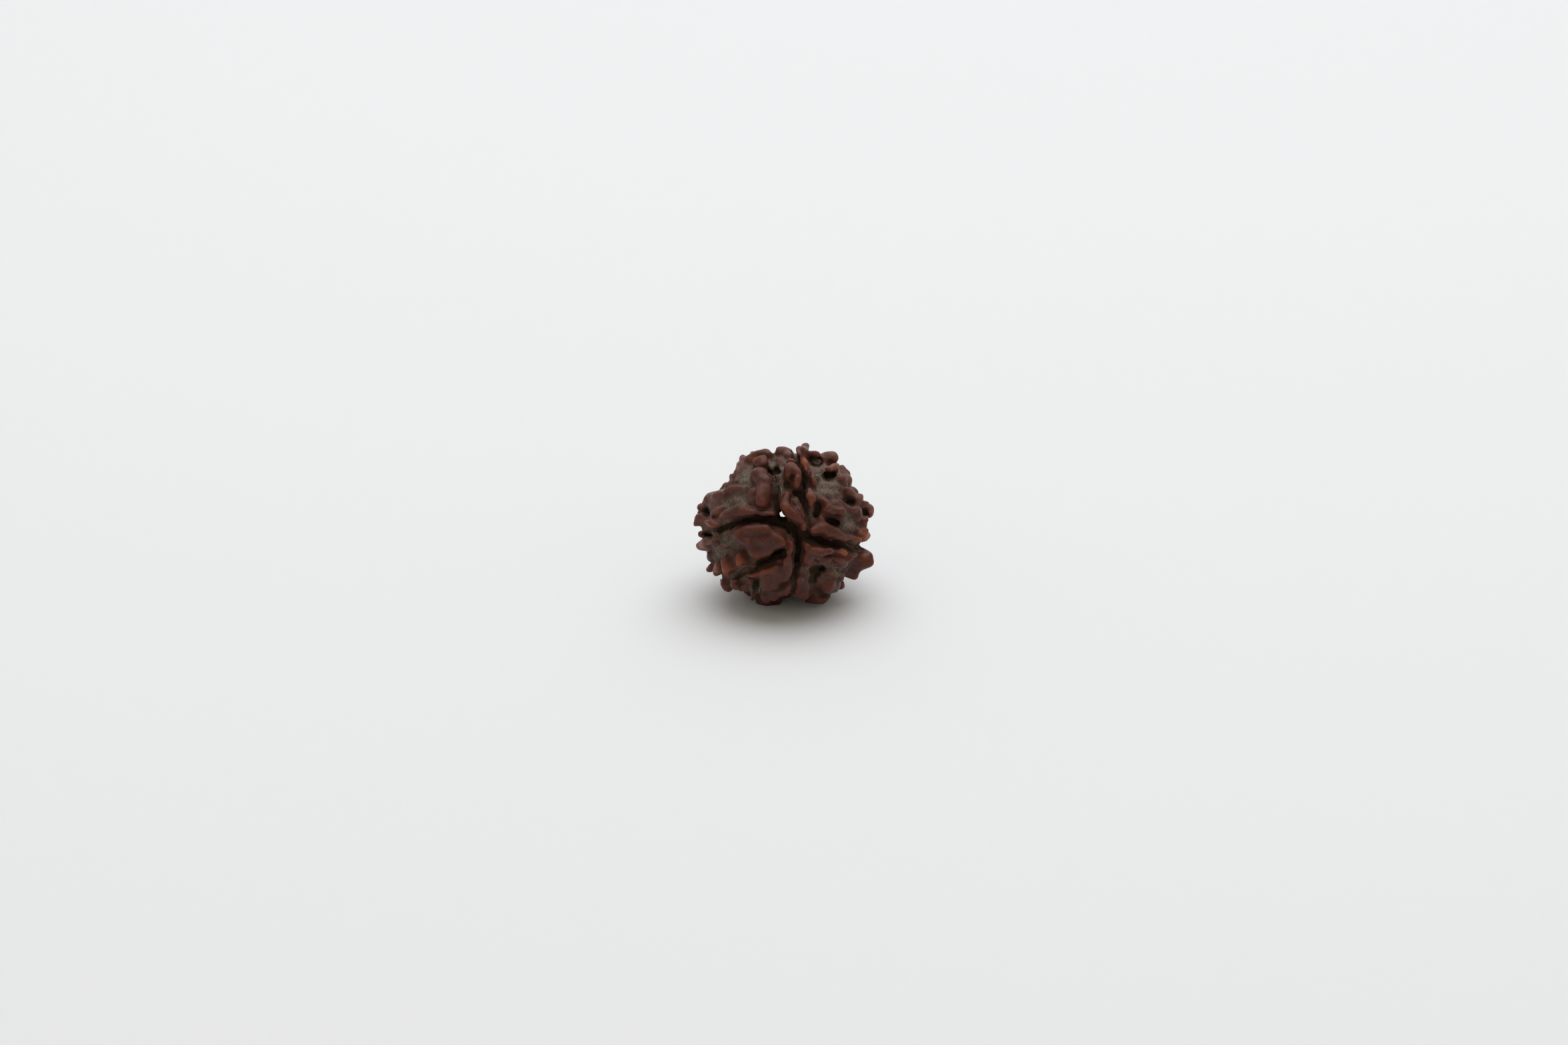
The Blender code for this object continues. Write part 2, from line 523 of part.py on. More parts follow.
def seam_path(front, back_angle):
    """A seam's front points, then an arc round the back, each with its half width and depth."""
    path = [(on_front(x, y, 0.0), half_width, depth) for x, y, half_width, depth in front]
    rim = path[-1][0] / np.linalg.norm(path[-1][0])
    rim_angle = math.atan2(rim[1], rim[0])
    start = math.acos(rim[2])
    turn = (back_angle - rim_angle + math.pi) % (2 * math.pi) - math.pi
    for share in np.linspace(0, 1, SEAM_BACK_POINTS)[1:]:
        polar = start + share * (math.radians(SEAM_END) - start)
        angle = rim_angle + share * turn
        flat = math.sin(polar)
        direction = np.array([flat * math.cos(angle), flat * math.sin(angle), math.cos(polar)])
        depth = np.interp(math.degrees(polar), SEAM_DEEPENS, (front[-1][3], BACK_SEAM_DEPTH))
        path.append((on_core(direction, 0.0), BACK_SEAM_WIDTH, depth))
    return path


def seam_paths():
    """The six seams, evenly spread where they meet at the rear pole."""
    rims = [math.atan2(front[-1][1], front[-1][0]) % (2 * math.pi) for front in SEAMS]
    order = sorted(range(len(SEAMS)), key=lambda i: rims[i])
    mean = np.unwrap([rims[i] for i in order]).mean() - math.pi * 5 / 6
    paths = [None] * len(SEAMS)
    for place, i in enumerate(order):
        paths[i] = seam_path(SEAMS[i], mean + place * math.pi / 3)
    return paths


def wild_knuckles(seams, placed):
    """Knuckles on the sides and back, kept apart from each other, the seams and the placed ones."""
    rng = np.random.default_rng(SEED)
    seam_points = np.array([at for path in seams for at, _, _ in path])
    front = np.array([at for strokes in placed for stroke in strokes for at, _ in stroke])
    found = [front[0]]
    made = []
    for _ in range(WILD_TRIES):
        direction = rng.normal(size=3)
        direction /= np.linalg.norm(direction)
        heading = rng.normal(size=3)
        size, proud, length, taper, bend = rng.uniform(0, 1, 5)
        at = on_core(direction, 0.0)
        to_seam = seam_points - at
        to_seam = to_seam[np.argmin(np.linalg.norm(to_seam, axis=1))]
        crowded = np.linalg.norm(np.array(found) - at, axis=1).min() < np.interp(size, (0, 1), WILD_SPACING)
        covered = np.linalg.norm(front - on_core(direction, STROKE_LIFT), axis=1).min() < FRONT_CLEARANCE
        if at[2] > WILD_FRONT or crowded or covered or np.linalg.norm(to_seam) < SEAM_CLEARANCE:
            continue
        found.append(at)
        if np.linalg.norm(to_seam) < NEAR_SEAM:
            heading = to_seam
        along = heading - (heading @ direction) * direction
        along *= np.interp(length**1.5, (0, 1), WILD_LENGTH) / np.linalg.norm(along) / 2
        radius = np.interp(size, (0, 1), WILD_RADIUS)
        tip = radius * np.interp(taper, (0, 1), WILD_TAPER)
        lift = np.interp(proud, (0, 1), WILD_PROUD) * np.interp(at[2], *RIM_HEIGHT) - radius
        aside = np.cross(direction, along) * np.interp(bend, (0, 1), WILD_BEND)
        stroke = [(at - along, radius), (at + aside, (radius + tip) / 2), (at + along, tip)]
        made.append([[(on_core(point, lift), r) for point, r in stroke]])
    return made


def smooth(distance):
    """Averages each point with its neighbours, so that no sliver thinner than the grid is left."""
    for axis in range(3):
        before = np.roll(distance, 1, axis)
        after = np.roll(distance, -1, axis)
        distance = distance / 2 + (before + after) / 4
    return distance


def fill_field(voxel):
    """The whole bead as a field of distances."""
    field = Field(voxel)
    placed = front_knuckles()
    seams = seam_paths()
    for strokes in placed + wild_knuckles(seams, placed):
        field.knuckle(strokes)
    for x, y, z, radius in RIM:
        crest = np.array([x, y, z])
        field.knuckle([[(crest, radius), (crest - [0, 0, radius], radius)]])
    for foot in FEET:
        field.knuckle([[(on_floor(x, y, radius - FOOT_SINK), radius) for x, y, radius in foot]])
    field.join()
    for path in seams:
        for (a, width_a, depth_a), (b, width_b, depth_b) in zip(path, path[1:]):
            low_a = 1 - depth_a / CORE_HALF[2]
            low_b = 1 - depth_b / CORE_HALF[2]
            for share in np.arange(0, 1, SEAM_STEP / (SEAM_OVER - min(low_a, low_b))):
                at_a = a * (SEAM_OVER + (low_a - SEAM_OVER) * share)
                at_b = b * (SEAM_OVER + (low_b - SEAM_OVER) * share)
                field.cut(at_a, at_b, width_a, width_b)
    for start, end, radius, floor in PITS:
        for z in np.arange(floor, PIT_TOP, radius):
            field.cut(np.array([*start, z]), np.array([*end, z]), radius, radius)
    for a, b, radius in MOUTH:
        field.cut(np.array(a), np.array(b), radius, radius)
    field.cut(BORE_FRONT, BORE_BACK, BORE_RADIUS, BORE_RADIUS)
    field.distance = smooth(field.distance)
    return field


def largest_shell(count, quads):
    """Which quads belong to the biggest connected piece, leaving out specks and sealed bubbles."""
    label = np.arange(count)
    while True:
        low = label[quads].min(axis=1)
        spread = label.copy()
        np.minimum.at(spread, quads.ravel(), np.repeat(low, 4))
        spread = spread[spread]
        if (spread == label).all():
            break
        label = spread
    kept = np.bincount(label[quads[:, 0]]).argmax()
    return label[quads[:, 0]] == kept


def skin(voxel):
    """The skin's points, in millimetres in the bead's frame, and its quads."""
    field = fill_field(voxel)
    grid = openvdb.FloatGrid()
    grid.copyFromArray(field.distance.astype(np.float32))
    points, quads = grid.convertToQuads(isovalue=0.0)
    quads = quads[largest_shell(len(points), quads)]
    used, index = np.unique(quads, return_inverse=True)
    return points[used] * voxel + field.low, index.reshape(-1, 4)


def stand(points):
    """Leans the bead back, in metres, with the middle of its base over the origin.

    Its feet reach a little under the floor, which cuts them flat.
    """
    sine, cosine = math.sin(LEAN), math.cos(LEAN)
    x, y, z = points.T
    placed = np.stack([x, y * sine - z * cosine, y * cosine + z * sine + FLOOR_BELOW_MIDDLE], axis=1)
    placed[:, :2] -= (placed[:, :2].min(axis=0) + placed[:, :2].max(axis=0)) / 2
    return placed * MM


def add_object(name, mesh):
    obj = bpy.data.objects.new(name, mesh)
    bpy.context.scene.collection.objects.link(obj)
    return obj


def floor_cutter():
    """A block under the floor."""
    mesh = bpy.data.meshes.new("floor_cutter")
    shape = bmesh.new()
    bmesh.ops.create_cube(shape, size=1)
    bmesh.ops.translate(shape, verts=shape.verts, vec=(0, 0, -0.5))
    bmesh.ops.scale(shape, verts=shape.verts, vec=CUTTER_SIZE * MM)
    shape.to_mesh(mesh)
    shape.free()
    cutter = add_object("floor_cutter", mesh)
    cutter.hide_render = True
    cutter.display_type = "WIRE"
    return cutter


def stone_material():
    material = bpy.data.materials.new("Rudraksha stone")
    material.use_nodes = True
    shader = material.node_tree.nodes["Principled BSDF"]
    shader.inputs["Base Color"].default_value = (0.08, 0.026, 0.019, 1)
    shader.inputs["Roughness"].default_value = 0.5
    shader.inputs["Metallic"].default_value = 0
    return material


def main():
    for obj in list(bpy.data.objects):
        bpy.data.objects.remove(obj)

    points, quads = skin(VOXEL)
    mesh = bpy.data.meshes.new("rudraksha_bead")
    mesh.from_pydata(stand(points).tolist(), [], quads.tolist())
    mesh.materials.append(stone_material())
    mesh.shade_smooth()
    bead = add_object("rudraksha_bead", mesh)

    thin = bead.modifiers.new("Fewer triangles", "DECIMATE")
    thin.ratio = TRIANGLES / (2 * len(quads))
    flats = bead.modifiers.new("Flat feet", "BOOLEAN")
    flats.object = floor_cutter()


if __name__ == "__main__":
    main()
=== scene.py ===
# A rudraksha bead: the hard woody stone of one fruit, lying on its side with its bore facing
# the camera. Two pieces are made here. The stone is the CAD bead again at a finer step, with
# its wrinkles and frayed hollows, and the fibres are the dried pulp threads left in them.
import math

import bpy
import numpy as np
import openvdb
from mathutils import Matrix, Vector


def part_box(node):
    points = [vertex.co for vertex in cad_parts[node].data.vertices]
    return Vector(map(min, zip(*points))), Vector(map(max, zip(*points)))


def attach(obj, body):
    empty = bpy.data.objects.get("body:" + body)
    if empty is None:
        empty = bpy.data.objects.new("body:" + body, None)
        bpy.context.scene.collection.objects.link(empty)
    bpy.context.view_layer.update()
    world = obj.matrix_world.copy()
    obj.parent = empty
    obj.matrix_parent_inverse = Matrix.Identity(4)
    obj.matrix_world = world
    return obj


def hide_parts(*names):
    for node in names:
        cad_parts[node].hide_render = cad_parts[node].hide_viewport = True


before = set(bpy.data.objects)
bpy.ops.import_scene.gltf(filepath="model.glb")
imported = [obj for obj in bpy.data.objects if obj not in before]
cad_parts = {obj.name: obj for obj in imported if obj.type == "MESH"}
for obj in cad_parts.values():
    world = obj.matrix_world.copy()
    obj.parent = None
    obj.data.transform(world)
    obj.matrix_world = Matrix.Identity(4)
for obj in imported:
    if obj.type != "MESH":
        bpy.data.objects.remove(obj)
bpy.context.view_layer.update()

mm = 0.001
far = 50.0              # mm, farther than any knuckle
tiny = 1e-9             # keeps a divisor off zero
latticeSize = 32        # values a side in the noise's lattice, which then repeats
latticeShift = 500      # cells, so that none has a number below zero
beadBox = np.array(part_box("rudraksha_bead")) / mm
print("CAD bead, mm:", np.round(beadBox[1] - beadBox[0], 2))


# Small tools

def srgb(code):
    # a hex colour turned linear: each share to the 2.4 over a toe of 1/12.92
    shares = [int(code[i:i + 2], 16) / 255 for i in (1, 3, 5)]
    return tuple(s / 12.92 if s <= 0.04045 else ((s + 0.055) / 1.055) ** 2.4 for s in shares) + (1.0,)


def addNode(tree, kind, inputs=(), **settings):
    # one node with its settings; its inputs, by socket or in order, are plain values or the
    # outputs that feed them
    node = tree.nodes.new(kind)
    for name, value in settings.items():
        setattr(node, name, value)
    for socket, value in inputs.items() if isinstance(inputs, dict) else enumerate(inputs):
        if isinstance(value, bpy.types.NodeSocket):
            tree.links.new(value, node.inputs[socket])
        else:
            node.inputs[socket].default_value = value
    return node


def smoothStep(low, high, value):
    # 0 below low, 1 above high, 3t squared less 2t cubed between
    share = np.clip((value - low) / (high - low), 0, 1)
    return share * share * (3 - 2 * share)


def unit(vectors):
    return vectors / np.maximum(np.linalg.norm(vectors, axis=-1, keepdims=True), tiny)


def valueNoise(points, size, seed):
    # random values of -1 to 1 on a lattice of this size, blended smoothly between its corners
    lattice = np.random.default_rng(seed).uniform(-1, 1, (latticeSize,) * 3)
    where = points / size + latticeShift
    cell = np.floor(where).astype(int)
    share = where - cell
    share = share * share * (3 - 2 * share)
    total = np.zeros(len(points))
    for corner in np.ndindex(2, 2, 2):
        weight = np.prod(np.where(corner, share, 1 - share), axis=1)
        i, j, k = ((cell + corner) % latticeSize).T
        total += weight * lattice[i, j, k]
    return total


# The stone's form, in millimetres in the bead's own frame: +x its right and +y its top as the
# camera sees it, +z out of the end that faces the camera, the origin in the bead's middle

bead = {
    "coreHalf": np.array([9.2, 8.3, 8.1]),       # half sizes of the egg under the knuckles
    "shoulder": np.array([-0.81, 0.57, -0.14]),  # where the egg is flatter
    "shoulderDepth": 0.16,
    "shoulderSpread": 0.07,
    "knuckleReach": 3.2,
    "coreBlend": 1.1,
    "knuckleBlend": 0.13,
    "mergedLeast": 1e-30,                        # a summed exponent's least value, for its log
    "strokeBlend": 0.35,
    "cutBlend": 0.35,
    "cutMargin": 0.5,
    "cutRoughness": 0.07,
    "cutRoughLength": 2.2,
    "skirtFlare": 0.26,
    "creaseDepth": 0.38,
    "creaseWidth": 0.28,
    "valleyFill": 0.4,
    "backSeamWidth": 0.24,
    "backSeamDepth": 0.5,
    "seamDeepens": (90, 112),                    # degrees from the front pole
    "seamEnd": 170,
    "seamBackPoints": 14,
    "seamOver": 1.16,
    "seamStep": 0.025,
    "pitTop": 11,
    "boreRadius": 0.7,
    "boreFront": np.array([0.05, 1.4, 7.4]),
    "boreBack": np.array([0.05, 1.4, -10.5]),
    "lean": math.radians(24),
    "floorBelowMiddle": 9.55,
    "footSink": 0.32,
    "wander": 0.04,
    "wanderLength": 3.4,
    "swell": 0.06,
    "swellLength": 2.6,
    "seed": 6,
    "voxel": 0.19,
}

# Each knuckle is how far it stands out of the egg, then its strokes: points x, y and radius.
# They go round the front end from lobe to lobe
upperLeftLobe = [
    (2.3, [(-3.5, 6.3, 0.65), (-2.9, 6.0, 1.0), (-2.45, 5.0, 1.05), (-2.4, 3.9, 1.0), (-2.7, 2.9, 0.95)]),
    (1.75, [(-3.0, 4.4, 0.8), (-3.4, 3.5, 0.9), (-3.4, 2.9, 0.85)]),
    (
        1.7,
        [(-7.5, 1.05, 0.4), (-6.6, 1.35, 0.6), (-5.5, 1.6, 0.75), (-4.6, 1.6, 0.75), (-3.4, 1.45, 0.6)],
        [(-3.4, 1.45, 0.6), (-2.2, 1.35, 0.5), (-1.3, 1.25, 0.4)],
    ),
    (1.2, [(-8.6, 1.1, 0.5), (-7.9, 1.75, 0.5), (-7.2, 2.2, 0.4)]),
    (1.7, [(-9.3, 0.25, 0.42), (-8.6, 0.1, 0.5), (-8.1, -0.15, 0.4)]),
    (1.85, [(-10.3, 0.75, 0.65), (-10.35, 0.1, 0.65)]),
    (1.6, [(-10.0, 2.1, 0.65)]),
    (1.5, [(-9.5, 2.7, 0.6), (-8.9, 3.2, 0.75), (-8.0, 3.4, 0.7), (-7.3, 3.5, 0.65)]),
    (1.1, [(-9.0, 2.5, 0.6), (-8.0, 2.7, 0.6)]),
    (1.2, [(-6.9, 4.6, 0.3), (-6.35, 5.3, 0.35), (-6.3, 6.0, 0.35)]),
    (1.4, [(-5.75, 5.3, 0.5), (-5.6, 6.2, 0.55), (-5.1, 7.2, 0.55), (-4.85, 8.0, 0.7)]),
    (1.2, [(-6.9, 4.1, 0.35), (-5.9, 4.6, 0.45), (-5.3, 4.3, 0.45), (-4.7, 4.1, 0.35)]),
    (0.75, [(-4.7, 5.7, 0.9), (-4.5, 4.9, 0.8)]),
    (1.65, [(-4.4, 8.0, 0.65), (-3.2, 8.35, 0.7), (-2.2, 8.55, 0.8), (-1.75, 8.5, 0.7)]),
    (
        2.0,
        [(-3.35, 8.0, 0.33), (-2.8, 7.85, 0.55), (-2.35, 7.6, 0.5)],
        [(-2.4, 8.2, 0.4), (-2.3, 7.6, 0.45)],
    ),
    (1.1, [(-1.75, 7.7, 0.4), (-1.5, 7.0, 0.35), (-1.3, 6.4, 0.3)]),
    (0.8, [(-6.2, 2.9, 0.4), (-5.2, 2.7, 0.4)]),
]
topLobe = [
    (1.6, [(-0.4, 8.75, 0.8), (0.4, 8.7, 0.85), (0.75, 8.3, 0.6)]),
    (1.5, [(0.8, 7.85, 0.35), (1.4, 7.7, 0.42)]),
    (0.9, [(-0.3, 7.8, 0.6), (0.1, 7.2, 0.5)]),
    (
        2.0,
        [(0.55, 6.0, 0.45), (0.65, 6.7, 0.5), (1.15, 6.85, 0.6), (1.65, 6.2, 0.55), (1.75, 5.3, 0.5)],
        [(1.75, 5.3, 0.5), (1.65, 4.65, 0.35)],
    ),
    (1.4, [(0.95, 6.1, 0.5), (1.2, 5.6, 0.4)]),
    (
        2.0,
        [(0.45, 3.75, 0.4), (0.25, 2.9, 0.5), (0.4, 2.15, 0.6), (0.95, 1.5, 0.66), (1.65, 0.95, 0.6)],
        [(1.65, 0.95, 0.6), (2.3, 0.4, 0.4)],
    ),
    (1.7, [(1.8, 2.0, 0.45), (2.15, 1.1, 0.42), (2.45, 0.2, 0.35), (2.5, -0.4, 0.3)]),
    (1.3, [(1.2, 2.8, 0.5), (1.5, 2.2, 0.5)]),
    (0.9, [(-0.15, 6.6, 0.4), (-0.25, 5.2, 0.4)]),
]
rightLobe = [
    (1.95, [(2.7, 9.4, 0.6), (2.45, 8.95, 0.5)], [(1.95, 8.95, 0.6), (1.9, 8.5, 0.45)]),
    (1.65, [(2.9, 8.75, 0.45), (3.9, 8.55, 0.48), (4.9, 8.3, 0.55), (5.7, 8.3, 0.6), (6.15, 8.25, 0.7)]),
    (1.2, [(5.2, 7.7, 0.5), (5.9, 7.6, 0.5)]),
    (1.0, [(4.9, 7.1, 0.35), (4.3, 6.7, 0.3)]),
    (2.1, [(2.5, 8.1, 0.2), (2.7, 7.4, 0.38), (2.8, 6.7, 0.25)]),
    (2.0, [(5.6, 6.75, 0.45), (6.2, 7.0, 0.5), (6.6, 7.2, 0.35)]),
    (1.5, [(7.2, 6.8, 0.55), (7.6, 6.2, 0.65), (7.75, 5.3, 0.65)]),
    (1.5, [(6.6, 5.8, 0.5), (7.2, 5.5, 0.55), (7.6, 5.0, 0.4)]),
    (1.7, [(3.55, 6.3, 0.42), (3.4, 5.6, 0.42), (3.6, 5.0, 0.3)]),
    (1.1, [(4.1, 5.8, 0.3), (4.7, 5.7, 0.25)]),
    (1.0, [(4.6, 4.9, 0.6), (5.6, 4.5, 0.6), (6.6, 4.3, 0.6)]),
    (1.0, [(5.0, 3.8, 0.5), (6.3, 3.7, 0.5), (7.0, 3.3, 0.4)]),
    (2.1, [(3.15, 4.4, 0.38), (3.35, 3.6, 0.55), (3.45, 2.95, 0.6), (3.3, 2.5, 0.45)]),
    (
        1.9,
        [(5.25, 2.8, 0.35), (5.4, 2.2, 0.5), (5.3, 1.8, 0.5)],
        [(5.1, 1.7, 0.5), (5.9, 1.75, 0.6), (6.8, 1.6, 0.6), (7.35, 1.3, 0.4)],
    ),
    (1.3, [(6.2, 2.3, 0.5), (7.0, 2.2, 0.45)]),
    (1.4, [(4.65, 1.1, 0.4), (4.6, 0.5, 0.4)]),
    (1.6, [(7.7, 4.2, 0.5), (8.4, 3.75, 0.55), (8.75, 3.2, 0.42)]),
    (1.2, [(7.1, 3.0, 0.35), (7.3, 2.4, 0.35), (8.0, 2.1, 0.4)]),
    (1.4, [(8.4, 1.9, 0.6), (8.9, 1.6, 0.7), (9.0, 0.9, 0.6)]),
    (1.5, [(9.4, 3.35, 0.5), (9.5, 2.9, 0.4)]),
    (1.7, [(9.9, 2.6, 0.45), (10.4, 2.1, 0.5), (10.45, 1.6, 0.5), (10.2, 1.0, 0.42), (9.95, 0.5, 0.4)]),
    (1.5, [(10.1, -0.4, 0.45)]),
    (1.7, [(9.2, -0.75, 0.4), (9.9, -0.85, 0.4), (10.25, -1.3, 0.5), (9.8, -1.6, 0.4)]),
    (
        1.7,
        [(3.5, -0.6, 0.55), (4.5, -0.4, 0.8), (5.3, -0.65, 0.75), (6.4, -1.15, 0.6), (7.8, -1.5, 0.45)],
        [(7.8, -1.5, 0.45), (9.3, -1.75, 0.38)],
    ),
    (1.2, [(7.3, -0.4, 0.5), (8.2, -0.3, 0.5)]),
    (1.2, [(3.0, 0.8, 0.4), (3.2, 0.2, 0.4)]),
]
lowerRightLobe = [
    (2.1, [(3.2, -3.2, 0.8), (4.5, -3.15, 0.6), (5.8, -3.1, 0.5), (6.9, -3.15, 0.36), (7.6, -3.4, 0.25)]),
    (1.9, [(2.95, -2.7, 0.7), (2.95, -3.6, 0.85), (3.2, -4.1, 0.8)]),
    (1.6, [(4.0, -3.8, 0.65), (5.4, -3.95, 0.6)]),
    (
        1.7,
        [(6.3, -4.0, 0.4), (7.0, -4.6, 0.45), (7.4, -4.95, 0.35)],
        [(7.3, -4.5, 0.5), (8.2, -3.9, 0.45), (9.1, -3.65, 0.3)],
    ),
    (2.0, [(9.6, -3.2, 0.35), (10.2, -3.9, 0.65), (10.2, -4.5, 0.65), (9.5, -5.2, 0.65), (8.75, -6.15, 0.6)]),
    (1.5, [(8.9, -2.75, 0.25), (9.7, -3.0, 0.3)]),
    (1.7, [(1.7, -6.3, 0.72), (2.05, -7.4, 1.02), (2.3, -8.45, 1.1)]),
    (2.0, [(5.2, -7.3, 1.2), (6.0, -7.4, 1.2)]),
    (1.8, [(3.7, -8.85, 0.8), (4.6, -8.95, 0.8), (5.5, -8.6, 0.6)]),
    (1.2, [(5.6, -5.7, 0.3), (6.7, -6.0, 0.3), (7.3, -6.1, 0.25)]),
    (1.3, [(7.1, -6.6, 0.3), (7.25, -7.0, 0.2)]),
    (1.3, [(6.8, -7.9, 0.3)]),
]
bottomLobe = [
    (1.0, [(-0.3, -4.2, 0.4), (-1.9, -4.85, 0.35)]),
    (
        1.75,
        [(0.85, -2.2, 0.35), (0.75, -3.0, 0.4), (0.6, -3.8, 0.5)],
        [(0.6, -3.8, 0.5), (0.45, -4.9, 0.65), (0.3, -5.5, 0.8), (0.2, -6.2, 0.75)],
        [(-0.4, -5.6, 1.1), (-1.4, -6.7, 1.2), (-1.9, -7.1, 0.9)],
        [(-1.4, -6.4, 1.0), (-2.6, -6.2, 0.7)],
        [(-0.9, -5.1, 0.5), (-2.2, -5.45, 0.5), (-3.4, -5.8, 0.45), (-4.2, -6.0, 0.35)],
    ),
    (1.5, [(-4.1, -6.8, 0.35), (-3.95, -7.6, 0.33)]),
    (1.3, [(-4.6, -7.2, 0.35), (-4.65, -8.2, 0.38)]),
    (1.9, [(-2.25, -9.0, 0.62), (-1.2, -8.7, 0.6), (0.0, -8.1, 0.55), (0.7, -7.4, 0.5)]),
    (1.3, [(-3.75, -9.1, 0.3), (-3.6, -8.3, 0.3)]),
    (1.6, [(-7.15, -7.0, 0.75), (-6.8, -7.35, 0.8)]),
    (1.9, [(-6.0, -6.7, 0.55), (-5.85, -7.2, 0.62)]),
    (1.4, [(-5.25, -7.8, 0.4)]),
    (1.5, [(-7.55, -6.45, 0.5)]),
    (1.1, [(-7.2, -6.0, 0.4), (-6.4, -6.1, 0.35)]),
    (1.0, [(-5.0, -6.3, 0.4), (-4.9, -6.9, 0.4)]),
]
lowerLeftLobe = [
    (
        2.0,
        [(-5.3, -0.85, 0.75), (-4.2, -0.65, 0.75), (-3.0, -0.45, 0.85)],
        [(-3.0, -0.45, 0.85), (-2.1, -0.6, 0.9), (-1.1, -1.25, 0.75)],
        [(-1.1, -1.25, 0.75), (-0.3, -1.9, 0.5)],
        [(-5.2, -1.5, 0.8), (-4.2, -2.0, 0.7), (-3.5, -3.1, 0.7), (-3.2, -3.5, 0.6)],
        [(-3.3, -3.4, 0.65), (-2.0, -2.9, 0.6), (-0.8, -2.4, 0.5), (0.2, -2.3, 0.3)],
        [(-3.2, -1.7, 0.75), (-2.1, -1.9, 0.75), (-1.4, -2.1, 0.7)],
    ),
    (1.9, [(-10.1, -2.4, 0.65), (-9.3, -2.25, 0.55), (-8.4, -2.0, 0.4)]),
    (1.5, [(-8.6, -2.75, 0.35), (-7.7, -2.65, 0.38), (-7.0, -2.9, 0.3)]),
    (1.4, [(-9.95, -1.1, 0.45), (-9.6, -0.75, 0.35), (-8.6, -0.75, 0.3)]),
    (1.9, [(-7.2, -4.2, 0.4), (-6.9, -5.0, 0.6), (-6.9, -5.5, 0.7)]),
    (1.75, [(-8.0, -5.0, 0.4), (-8.15, -5.7, 0.52)]),
    (1.7, [(-8.9, -5.0, 0.42), (-9.0, -5.4, 0.5)]),
    (1.4, [(-9.05, -3.8, 0.35), (-9.1, -4.4, 0.36)]),
    (2.1, [(-5.45, -4.0, 0.35), (-5.3, -4.7, 0.42)]),
    (1.0, [(-6.9, -3.3, 0.4), (-6.0, -3.3, 0.4)]),
    (0.8, [(-8.4, -3.6, 0.35), (-7.6, -3.4, 0.35)]),
    (0.8, [(-7.0, -1.5, 0.5), (-6.6, -0.5, 0.5)]),
]

# Knuckles behind the rim, as (x, y, z, radius)
rimKnuckles = [
    (-10.2, 1.5, -0.6, 0.55),
    (-10.0, 0.5, -1.6, 0.6),
    (-10.05, -1.15, -0.5, 0.55),
    (-9.5, 1.9, -1.3, 0.8),
    (-9.9, -2.2, -1.6, 0.55),
    (-8.9, -4.3, -1.3, 0.6),
    (-8.0, -5.9, -0.6, 0.55),
    (-7.3, -6.6, -1.6, 0.65),
    (-5.4, -7.5, -1.2, 0.7),
    (0.9, -7.7, -1.6, 0.6),
    (6.9, -7.2, -1.2, 0.7),
    (7.6, -5.7, -0.9, 0.6),
    (9.0, -4.9, -1.5, 0.7),
    (8.5, -2.5, -0.8, 0.5),
    (9.9, -0.9, -1.3, 0.6),
    (9.7, 1.1, -0.9, 0.6),
    (9.0, 3.0, -1.2, 0.6),
    (7.5, 5.5, -1.3, 0.7),
    (5.9, 7.5, -1.2, 0.8),
    (3.6, 8.5, -1.0, 0.6),
    (1.45, 8.0, -0.8, 0.6),
    (0.2, 8.7, -1.6, 0.7),
    (-1.35, 8.5, -0.7, 0.6),
    (3.6, 7.5, -1.6, 0.6),
    (4.7, 7.5, -1.9, 0.65),
    (4.1, 7.9, -2.5, 0.7),
    (3.5, 8.6, 0.6, 0.5),
    (4.5, 8.4, 0.6, 0.55),
    (4.0, 8.5, -0.6, 0.6),
    (4.0, 8.4, -1.7, 0.6),
    (-3.6, 8.4, -1.4, 0.7),
    (-3.8, 8.25, 0.4, 0.6),
    (-3.9, 7.4, -1.0, 0.8),
    (-5.0, 7.4, -0.9, 0.6),
    (-6.1, 5.5, -1.2, 0.6),
    (-7.0, 4.0, -1.0, 0.6),
    (-8.9, 3.1, -1.3, 0.7),
]

# Feet are the knuckles that the bead rests on, as strokes of (right, back, radius) on the floor.
feet = [
    [(-3.0, -2.45, 0.6), (-2.0, -2.75, 0.75), (-0.8, -2.4, 0.6)],
    [(3.2, -2.1, 0.75), (4.5, -1.9, 0.9)],
    [(-0.7, 2.7, 0.9), (1.0, 2.9, 1.0)],
]

